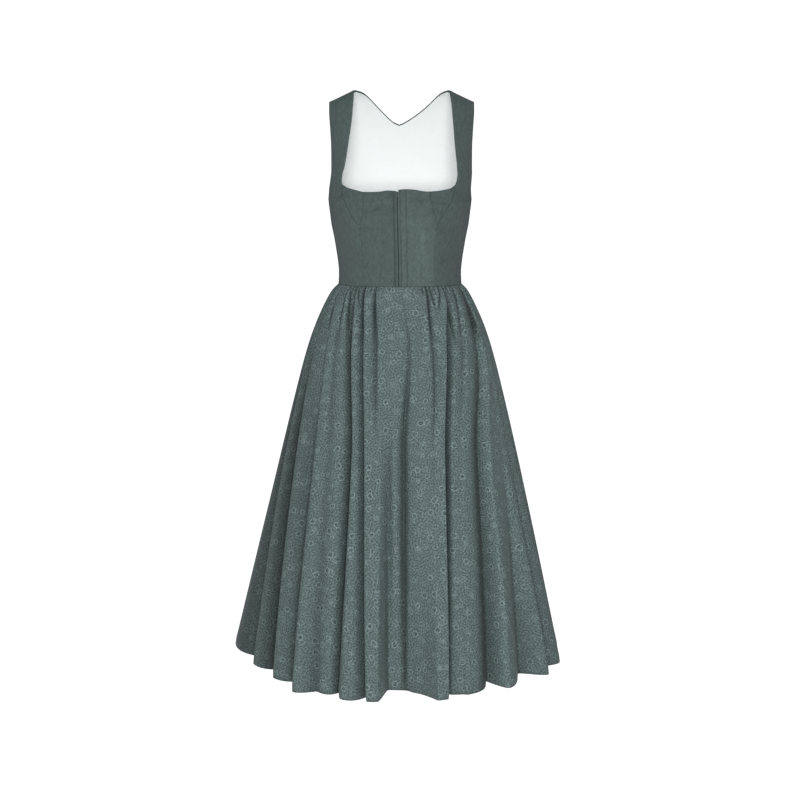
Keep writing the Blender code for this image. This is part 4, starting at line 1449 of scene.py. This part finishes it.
@dataclass
class Bodice:
    """The ten panels of the bodice, five on each side of the centre front, and the lining."""

    form: BodyForm
    finishes: Finishes
    centre_columns: int = 48
    gore_columns: int = 28
    side_columns: int = 46
    back_columns: int = 46
    side_lining_columns: int = 24
    back_lining_columns: int = 34
    lining_drop: float = 0.0020     # of the back lining's edge below the neckline
    drop_above: float = -0.1
    lining_top: float = -0.0010
    coarse_rows: int = 58           # of the back lining, of which it has every second one
    notch: float = 0.0036           # how much further the front edges part at their tops
    notch_levels: tuple[float, float] = (-0.1995, -0.1945)

    def levels_to(self, *spans: tuple[float, int]) -> Array:
        """Levels up from the waist seam, fine just over it, by the end and steps of each span."""
        ends = [WAIST_LEVEL, WAIST_LEVEL + 0.005] + [end for end, _ in spans]
        return runs(*zip(ends[:-1], ends[1:], [7] + [steps for _, steps in spans]))

    def wall_levels(self, fine_from: float, fine_to: float) -> Array:
        """Levels from the waist seam to the ridge of the shoulder.

        Args:
            fine_from: where the finer levels start.
            fine_to: where they end.

        Returns:
            The levels, finer there and near the ridge.
        """
        lower = self.levels_to((fine_from, 52), (fine_to, 26), (SHOULDER_LEVEL, 44))
        below_ridge = (RIDGE_LEVEL - SHOULDER_LEVEL) * (1 - np.linspace(0, 1, 22)) ** 2
        return np.concatenate((lower[:-1], RIDGE_LEVEL - below_ridge))

    def under_neckline(self, inner: Sequence[Line], outer: Sequence[Line], columns: int,
                       lower: Array, shares: Array) -> tuple[Array, Array]:
        """Angles and levels of a panel whose top follows the front neckline.

        Args:
            inner: path of its border at the centre.
            outer: path of its border at the side.
            columns: number of columns.
            lower: levels of the rows below the bust.
            shares: rows from the bust to the neckline, 0 to 1.

        Returns:
            The grid's angles, rising along each row, and its levels.
        """
        across = eased(columns)
        near, far = (angle_on(path, np.array([-0.195]))[0] for path in (inner, outer))
        top_levels, top_angles = zip(*NECKLINE)
        turn = near + (far - near) * across
        if far > near:
            turn = np.maximum(turn, NECKLINE_STEP[1])
        else:
            turn = np.minimum(turn, NECKLINE_STEP[0])
        top = read_table(turn, top_angles, top_levels)
        upper = BUST_LEVEL + (top - BUST_LEVEL)[None, :] * shares[:, None]
        levels = np.vstack((np.broadcast_to(lower[:, None], (len(lower), columns)), upper))
        angles = angle_on(inner, levels) * (1 - across) + angle_on(outer, levels) * across
        step = -1 if angles[0, 0] > angles[0, -1] else 1
        return angles[:, ::step], levels[:, ::step]

    def strip(self, inner: Sequence[Line], outer: Sequence[Line], levels: Array,
              columns: int) -> tuple[Array, Array]:
        """Angles and levels of a panel that runs up between two paths.

        Args:
            inner: path of its border at the centre.
            outer: path of its border at the side.
            levels: one for each row.
            columns: number of columns.

        Returns:
            The grid's angles, rising along each row, and its levels.
        """
        borders = (angle_on(inner, levels), angle_on(outer, levels))
        first, last = sorted(borders, key=lambda angle: angle[0])
        across = eased(columns)
        angles = first[:, None] * (1 - across) + last[:, None] * across
        return angles, np.broadcast_to(levels[:, None], angles.shape)

    def front(self, side: str, waist: Line, bust: Line, gore: Line, strap: Line, armhole: Line,
              panel_light_tones: Triple) -> None:
        """Centre panel, gore and side panel with its strap, of one half of the front.

        Args:
            side: left or right.
            waist: seam from the waist seam to the bust point.
            bust: seam from there to the neckline's corner.
            gore: seam between the centre panel and the gore.
            strap: inner edge of the strap.
            armhole: side seam and front edge of the armhole.
            panel_light_tones: painted light and shade of the centre panel, gore and side panel.
        """
        left = side == "left"
        inner, outer = ("first", "last") if left else ("last", "first")
        stitches = [TopStitch("top", 5.5, 0.22, 0.9, 0.15)]
        if left:
            stitches += [TopStitch(inner, 4.7, 0.9, 1.2, 0.80),
                         TopStitch(inner, 17.0, 0.4, 1.2, 0.75)]
        else:
            stitches += [TopStitch(inner, 6.7, 1.1, 1.5, 1.0)]
        lined = (self.form, self.finishes.twill, self.finishes.lining)

        angles, levels = self.under_neckline(
            (CENTRE_FRONT,), (waist, gore), self.centre_columns,
            self.levels_to((BUST_LEVEL, 42))[:-1], 1 - (1 - np.linspace(0, 1, 34)) ** 1.35)
        at_centre = levels[:, :1] if left else levels[:, -1:]
        opening = FRONT_EDGE_GAP + self.notch * step_up(at_centre, *self.notch_levels)
        Panel("front_centre_" + side, angles, levels, {inner: 0.0, "top": 0.0}, tone=panel_light_tones[0],
              stitches=stitches, edge_roll=0.0013, edge_reach=0.0026,
              **{inner + "_gap": opening}).build(*lined)

        angles, levels = self.under_neckline(
            (gore,), (bust,), self.gore_columns, np.empty(0), 0.03 + 0.97 * eased(36, 0.8))
        Panel("bust_gore_" + side, angles, levels, {"top": 0.0}, tone=panel_light_tones[1], seam_dip=0.0007,
              border_shades={outer: 1.30, inner: 0.60}).build(*lined)

        levels = self.wall_levels(UNDERARM_LEVEL, ARMHOLE_LEVEL)
        angles, grid = self.strip((waist, bust, strap), (armhole,), levels, self.side_columns)
        sewn = {outer: below(levels, UNDERARM_LEVEL), inner: below(levels, NECK_CORNER_LEVEL)}
        Panel("side_front_" + side, angles, grid, sewn, tone=panel_light_tones[2],
              **{outer + "_gap": 0.0}).build(*lined)

    def back(self, side: str, neck: Line, seam: Line, armhole: Line, arm_edge: Line) -> Lining:
        """Side back with its lining, and back panel, of one half.

        Args:
            side: left or right.
            neck: centre back seam and back neckline.
            seam: between the back and the side back.
            armhole: side seam and lower back edge of the armhole.
            arm_edge: edge of the strap's back over it.

        Returns:
            The half of the back's lining, which isn't made yet.
        """
        near, far = ("first", "last") if side == "left" else ("last", "first")
        twill = (self.form, self.finishes.twill)
        levels = self.levels_to((UNDERARM_LEVEL, 50), (ARMHOLE_LEVEL, 26), (SIDE_BACK_TOP, 20))
        angles, grid = self.strip((seam,), (armhole,), levels, self.side_columns)
        Panel("side_back_" + side, angles, grid, {near: below(levels, UNDERARM_LEVEL), "top": 0.0},
              **{near + "_gap": 0.0}).build(*twill)
        coarse = levels[::2] if len(levels) % 2 else np.append(levels[::2], levels[-1])
        angles, grid = self.strip((seam,), (armhole,), coarse, self.side_lining_columns)
        name = "side_lining_" + side
        sewn = {near: below(coarse, UNDERARM_LEVEL), "top": 0.0}
        self.line(Lining(name, angles, grid, sewn).cut(self.form), name, name)

        levels = self.wall_levels(BACK_NECK_LEVEL - self.lining_drop, BACK_NECK_LEVEL + 0.018)
        angles, grid = self.strip((neck,), (seam, arm_edge), levels, self.back_columns)
        sewn = {near: below(levels, SIDE_BACK_TOP), far: below(levels, BACK_NECK_LEVEL)}
        Panel("back_" + side, angles, grid, sewn).build(*twill)
        kept = levels[levels < self.lining_top]
        coarse = np.concatenate((kept[:self.coarse_rows:2], kept[self.coarse_rows:]))
        lower_neck = tuple((level - self.lining_drop * (level > self.drop_above), angle)
                           for level, angle in neck)
        angles, grid = self.strip((lower_neck,), (seam, arm_edge), coarse,
                                  self.back_lining_columns)
        return Lining("back_lining_" + side, angles, grid,
                      {near: below(coarse, SIDE_BACK_TOP), "top": 0.0},
                      on_fold=far, **{far + "_gap": 0.0})

    def back_lining(self, left: Lining, right: Lining) -> None:
        """Lining of the whole back, cut on a fold: one cloth up to the neckline's V.

        Args:
            left: its left half.
            right: its right half.
        """
        (first, first_size, first_area), (second, second_size, second_area) = (
            half.cut(self.form) for half in (left, right))
        rows, columns = left.levels.shape
        shared = left.levels[:, 0] <= BACK_NECK_LEVEL - self.lining_drop + 1e-9
        shared = np.flatnonzero(shared) * columns
        both_faces = np.concatenate((shared, shared + rows * columns))
        cloth = first.welded(second, both_faces + columns - 1, both_faces)
        size = (first_size[0] + second_size[0], max(first_size[1], second_size[1]))
        self.line((cloth, size, first_area + second_area), "back_lining", left.name, right.name)

    def line(self, cut: tuple[Cloth, Array, float], name: str, *nodes: str) -> None:
        """Make a piece of lining.

        Args:
            cut: the cloth with its flat size and area.
            name: of the piece.
            nodes: the nodes it stands for.
        """
        cloth, size, area = cut
        piece = cloth.piece(name + "_cloth", self.finishes.lining)
        dress(piece, "lining", *nodes)
        declare_cut(size, area)

    def build(self) -> None:
        """Build both halves."""
        # The last numbers of each front half are the painted light and shade of its three panels.
        self.front("left", WAIST_SEAM_LEFT, BUST_SEAM_LEFT, GORE_SEAM_LEFT, STRAP_INNER_LEFT,
                   ARMHOLE_FRONT, (1.04, 0.92, 0.88))
        self.front("right", WAIST_SEAM_RIGHT, BUST_SEAM_RIGHT, GORE_SEAM_RIGHT, STRAP_INNER_RIGHT,
                   mirrored(ARMHOLE_FRONT, 0.0), (0.90, 0.97, 0.97))
        lines = (BACK_SEAM, ARMHOLE_BACK, BACK_ARM_EDGE)
        left = self.back("left", BACK_NECK_LEFT, *lines)
        right = self.back("right", BACK_NECK_RIGHT, *(mirrored(line, 360.0) for line in lines))
        self.back_lining(left, right)


def hard_piece(name: str, vertices: Array, faces: Array, finish: Material, rounding: float,
               segments: int) -> None:
    """Make a hard piece of the zip.

    Args:
        name: its name.
        vertices: its points.
        faces: its faces.
        finish: its material.
        rounding: width of its rounded edges.
        segments: how many faces round them.
    """
    piece = mesh_piece(name, vertices, faces, (finish,), smooth=False)
    bevel = piece.modifiers.new("rounded", "BEVEL")
    bevel.width, bevel.segments = rounding, segments
    dress(piece, "tape")


def repeated(faces: Sequence[Sequence[int]], count: int, size: int) -> Array:
    """The faces of one block for each of a count of blocks, each with a number of points."""
    faces = np.array(faces)
    return (faces[None] + size * np.arange(count)[:, None, None]).reshape(-1, faces.shape[1])


@dataclass
class Closure:
    """The closed zip behind the two front edges, and the stitching that holds it."""

    form: BodyForm
    finishes: Finishes
    half_width: float = 0.011
    tape_wall: float = 0.0006
    bead: float = 0.0004                    # how much thicker the tape is beside the teeth
    bead_at: float = 0.0012
    bead_reach: float = 0.0007
    depth: float = BODICE_WALL + SEAM_GAP
    pitch: float = 0.0013
    tooth: Triple = (0.0010, 0.0005, 0.00042)       # half sizes
    tooth_shift: float = 0.0004
    bottom: float = WAIST_LEVEL + 0.004
    top: float = -0.1978
    tooth_depth: float = 0.0005             # of the teeth's middles behind the tape's face
    slider_drop: float = 0.010
    plate_length: float = 0.0095
    plate_tail: float = 0.0045
    pull_length: float = 0.020
    half_plate: float = 0.0016              # half widths of its tail and of the pull
    half_pull: float = 0.0017
    stitch_spacing: float = 0.0034
    stitch_length: float = 0.0026
    stitch_radius: float = 0.00028
    stitch_depth: float = 0.0007            # of the stitches' middles under the cloth's form
    stitch_dip: float = 0.0002              # of their ends below that
    # Rows of stitches: distance from the centre front, lowest and highest level.
    rows: tuple[Triple, ...] = ((-0.0080, -0.384, -0.2035), (0.0059, -0.384, -0.2035),
                                (0.0182, -0.345, -0.2035))

    def tapes(self) -> None:
        """Two strips of tape with a thicker edge where the teeth sit."""
        levels = np.linspace(self.bottom, self.top, 60)
        for side, sign in (("left", 1.0), ("right", -1.0)):
            offsets = np.sort(sign * np.linspace(0.0, self.half_width, 14))
            points = self.form.centre_strip(offsets, levels)
            normals = grid_normals(points)
            from_bead = (np.abs(offsets) - self.bead_at) / self.bead_reach
            wall = self.tape_wall + self.bead * bell(from_bead)
            points = points - normals * self.depth
            uv = cut_plan(points)
            cloth = Cloth.shell(points, normals, wall, uv)
            tape = cloth.piece("zip_tape_" + side, self.finishes.tape)
            dress(tape, "tape", "closure_tape")
            declare_cut(cut_size(uv), grid_area(points))

    def teeth(self) -> None:
        """Interlocking teeth: a short rounded block for each, shifted to either side in turn."""
        count = int((self.top - self.bottom - 0.004) / self.pitch)
        levels = self.bottom + 0.002 + self.pitch * np.arange(count)
        line, normals = self.form.side_line(0.0, levels)
        centre = line - normals * (self.depth + self.tooth_depth)
        centre[:, 0] += np.where(np.arange(count) % 2, self.tooth_shift, -self.tooth_shift)
        ends = (-1, 1)
        block = np.array([(x, y, z) for z in ends for y in ends for x in ends]) * self.tooth
        sides = ((0, 2, 3, 1), (4, 5, 7, 6), (0, 1, 5, 4),
                 (2, 6, 7, 3), (0, 4, 6, 2), (1, 3, 7, 5))
        faces = repeated(sides, count, 8)
        hard_piece("zip_teeth", centre[:, None] + block, faces, self.finishes.teeth, 0.00012, 1)

    def slider(self) -> None:
        """The slider at the top: a waisted plate behind the teeth, with a pull that hangs down.

        The plate's outline is wider at its shoulders than at its tail, and the pull is a flat
        strip with a round end.
        """
        level = self.top - self.slider_drop
        centre = self.form.side_line(0.0, np.array([level, level + 0.002]))[0][0]
        t = np.linspace(0, 1, 15)
        shoulder = step_up(t, 0.25, 0.9) * (1 - 0.55 * step_up(t, 0.92, 1.0))
        plate = (t * self.plate_length - self.plate_tail,
                 self.half_plate + self.half_pull * shoulder)
        pull = (0.002 - self.pull_length * t[::-1],
                self.half_pull * np.sqrt(np.clip(1 - (2 * t - 1) ** 8, 0.02, 1)))
        vertices, faces = [], []
        # The heights and half widths of each, and its near and far depth.
        for number, ((heights, halves), near, far) in enumerate(
                ((plate, 0.0020, 0.0042), (pull, 0.0046, 0.0056))):
            across, depth = np.array([(-1, near), (1, near), (1, far), (-1, far)]).T
            axes = np.broadcast_arrays(halves[:, None] * across, depth, heights[:, None])
            vertices.append((np.stack(axes, axis=-1) + centre).reshape(-1, 3))
            start = 4 * len(t) * number
            row = start + 4 * np.arange(len(t) - 1)
            for c, d in ((0, 1), (1, 2), (2, 3), (3, 0)):
                faces.append(np.stack((row + c, row + d, row + 4 + d, row + 4 + c), axis=-1))
            end = row[-1] + 4
            faces.append(np.array([np.arange(start + 3, start - 1, -1), np.arange(end, end + 4)]))
        hard_piece("zip_slider", np.concatenate(vertices), np.concatenate(faces),
                   self.finishes.slider, 0.0004, 2)

    def stitching(self) -> None:
        """Topstitching beside the front edges: a slim spindle for each stitch.

        Each stitch has a ring of six points round its middle and a point at each end.
        """
        paths = []
        for offset, first, last in self.rows:
            levels = np.arange(first, last, self.stitch_spacing)
            line, normals = self.form.side_line(offset, levels)
            along = unit(np.gradient(line, axis=0))
            paths.append((line - normals * self.stitch_depth, normals, along))
        centre, normal, along = (np.concatenate(parts)[:, None] for parts in zip(*paths))
        turn = np.linspace(0, 2 * np.pi, 6, endpoint=False)[:, None]
        outward = np.cos(turn) * np.cross(along, normal) + np.sin(turn) * normal
        ring = centre + self.stitch_radius * outward
        reach = 0.5 * self.stitch_length * along * np.array([[-1.0], [1.0]])
        ends = centre + reach - self.stitch_dip * normal
        sides = [(6, (n + 1) % 6, n) for n in range(6)] + [(7, n, (n + 1) % 6) for n in range(6)]
        faces = repeated(sides, len(centre), 8)
        thread = mesh_piece("front_edge_stitching", np.concatenate((ring, ends), axis=1), faces,
                            (self.finishes.thread,))
        dress(thread, "bodice_twill")

    def build(self) -> None:
        """Build tape, teeth, slider and stitching."""
        for make in (self.tapes, self.teeth, self.slider, self.stitching):
            make()


# Its result is painted into the skirt's colour as shade, standing in for ambient occlusion.
def fold_depth(points: Array, normals: Array, reach: Array) -> Array:
    """How far inside a fold each point lies, from 0 on the open cloth to 1 in a closed pleat.

    Args:
        points: the grid, with one level for each row.
        normals: its unit normals.
        reach: how far round each row to look, in metres.

    Returns:
        A smooth step of the mean, over the cloth near by in the same row, of the sine of its
        height above the point's own plane.
    """
    total = np.zeros(points.shape[:2])
    facing = unit(normals[..., :2]).astype(np.float32)
    level = points[..., :2].astype(np.float32)
    for row, (places, outward, far) in enumerate(zip(level, facing, reach)):
        apart = places[None] - places[:, None]
        distance = np.linalg.norm(apart, axis=2) + 1e-6
        above = np.maximum(np.einsum("ijk,ik->ij", apart, outward), 0) / distance
        weight = bell(distance / far)
        total[row] = (weight * above).sum(axis=1) / weight.sum(axis=1)
    return step_up(1.7 * total, 0.10, 0.85)


@dataclass
class Skirt:
    """The gathered skirt, in a front and a back width joined at the side seams."""

    form: SkirtForm
    finishes: Finishes
    columns: int = 360
    rows: int = 112
    wall: float = 0.0012
    seam_dip: float = 0.0007
    hem_depth: float = 0.028
    hem_step: float = 0.0015                # width of the step at the hem's upper edge
    hem_fullness: float = 0.0003
    hem_roll: float = 0.0009
    edge_reach: float = 0.0016
    flare_radius: float = 0.32              # of the cut ring's inner edge
    flat: tuple[float, float] = (1.60, 0.88)    # the rectangle that the cut ring fits in
    area: float = 0.92
    occlusion_shade_share: float = 0.5               # of the fold depth in the painted shade
    look: tuple[float, float] = (0.010, 0.022)  # how far round to look, and further at the hem

    def fold_columns(self, first: int, last: int) -> Array:
        """Columns of one width, spaced evenly along the cloth near the waist.

        Args:
            first: the fold at its first side seam.
            last: the fold at its last.

        Returns:
            The fold count of each column.
        """
        fine = np.linspace(first, last, 4000)
        along = lengths(self.form.surface(fine, np.array([0.02, 0.16]))[0], 1)
        return np.interp(eased(self.columns, 0.35), (along / along[:, -1:]).mean(axis=0), fine)

    def width(self, name: str, folds: Array, other: Array) -> None:
        """Build one width of the skirt.

        Args:
            name: the node it stands for.
            folds: fold counts of its columns, from one side seam to the other.
            other: those of the other width, whose neighbouring columns set the slope at the seams.
        """
        t = np.linspace(0, 1, self.rows)
        shares = (0.28 * t + 0.72 * t ** 1.9)[::-1]
        wider = np.concatenate((other[-2:-1], folds, other[1:2]))
        points, shade = self.form.surface(wider, shares)
        normals = grid_normals(points)[:, 1:-1]
        points, shade = points[:, 1:-1], shade[:, 1:-1]
        up, across = lengths(points, 0), lengths(points, 1)
        from_side = np.minimum(across, across[:, -1:] - across)
        height = self.hem_fullness * step_up(up, self.hem_depth + self.hem_step, self.hem_depth)
        height -= self.seam_dip * bell(from_side / self.edge_reach)
        height -= self.hem_roll * rolled(up, self.edge_reach)
        radius = self.flare_radius + up[-1:] - up
        turn = (across - 0.5 * across[:, -1:]) / radius
        uv = np.stack((radius * np.sin(turn), -radius * np.cos(turn)), axis=-1)
        outer = points + normals * height[..., None]
        reach = self.look[0] + self.look[1] * shares
        # Painted shade in the folds: the fold depth as occlusion, with the valleys' painted shade
        # and the painted light of lit edges.
        occlusion_shade = self.occlusion_shade_share * fold_depth(outer, normals, reach)
        cloth = Cloth.shell(outer, normals, self.wall, uv, deep=1 - (1 - occlusion_shade) * (1 - shade))
        piece = cloth.piece(name + "_cloth", self.finishes.printed)
        dress(piece, "skirt_print", name)

    def build(self) -> None:
        """Build both widths."""
        front = self.fold_columns(SIDE_SEAM_RIGHT, SIDE_SEAM_LEFT)
        back = self.fold_columns(SIDE_SEAM_LEFT, len(FOLDS))
        self.width("skirt_front", front, back)
        self.width("skirt_back", back, front)


@dataclass
class Studio:
    """Pale floor, soft light and the camera."""

    floor_level: float = -1.42
    floor_radius: float = 9.0
    floor_sides: int = 96
    camera_place: Triple = (0.0, -3.8, -0.0585)
    camera_pitch: float = 8.5518            # degrees below level
    lens: float = 83.79
    lamp_place: Triple = (0.02, -3.2, 0.08)
    lamp_aim: Triple = (0.0, 0.0, -0.50)
    lamp_size: float = 1.1
    lamp_watts: float = 87.0
    light_round: float = 0.24               # strength of the surroundings as a light
    light_seen: float = 1.1                 # and as the backdrop

    def light(self) -> None:
        """Place the lamp and a white surrounding light."""
        data = bpy.data.lights.new("lamp_0", "AREA")
        data.size, data.energy = self.lamp_size, self.lamp_watts
        lamp = put("lamp_0", data)
        lamp.location = self.lamp_place
        aim = Vector(self.lamp_aim) - Vector(self.lamp_place)
        lamp.rotation_euler = aim.to_track_quat("-Z", "Y").to_euler()
        lamp.visible_camera = False
        scene = bpy.context.scene
        scene.world = bpy.data.worlds.new("studio")
        scene.world.use_nodes = True
        tree = scene.world.node_tree
        background = tree.nodes["Background"].inputs
        background["Color"].default_value = (1.0, 1.0, 1.0, 1.0)
        rays = tree.nodes.new("ShaderNodeLightPath")
        strength = tree.nodes.new("ShaderNodeMapRange")
        strength.inputs["To Min"].default_value = self.light_round
        strength.inputs["To Max"].default_value = self.light_seen
        tree.links.new(rays.outputs["Is Camera Ray"], strength.inputs["Value"])
        tree.links.new(strength.outputs["Result"], background["Strength"])
        scene.view_settings.view_transform = "Standard"

    def floor(self) -> None:
        """A round pale floor below the hem."""
        sides = self.floor_sides
        turn = np.linspace(0, 2 * np.pi, sides, endpoint=False)
        ring = self.floor_radius * np.stack((np.cos(turn), np.sin(turn), 0 * turn), axis=-1)
        vertices = np.concatenate((ring, [(0.0, 0.0, 0.0)])) + (0.0, 0.0, self.floor_level)
        faces = np.array([(n, (n + 1) % sides, sides) for n in range(sides)])
        nodes = Nodes("studio_floor", 0.9)
        nodes.tinted((0.92, 0.92, 0.92), nodes.total(0.99, (nodes.grain(3.0), 0.02)))
        nodes.set_shader(Emission_Color=(1.0, 1.0, 1.0, 1.0), Emission_Strength=0.90)
        floor = mesh_piece("floor", vertices, faces, (nodes.material,))
        floor.visible_diffuse = False

    def camera(self) -> None:
        """Look at the dress from the front, a little from above."""
        data = bpy.data.cameras.new("camera")
        data.sensor_width, data.lens = 36.0, self.lens
        camera = put("camera", data)
        camera.location = self.camera_place
        camera.rotation_euler = (math.radians(90 - self.camera_pitch), 0.0, 0.0)
        bpy.context.scene.camera = camera

    def build(self) -> None:
        """Set up the whole studio."""
        self.camera()
        self.light()
        self.floor()


def main() -> None:
    """Build the dress and its studio."""
    logging.basicConfig(level=logging.INFO, format="%(message)s", stream=sys.stdout, force=True)
    Studio().build()
    finishes, form = Finishes(), BodyForm()
    Bodice(form, finishes).build()
    Closure(form, finishes).build()
    Skirt(SkirtForm(), finishes).build()


if __name__ == "__main__":
    main()
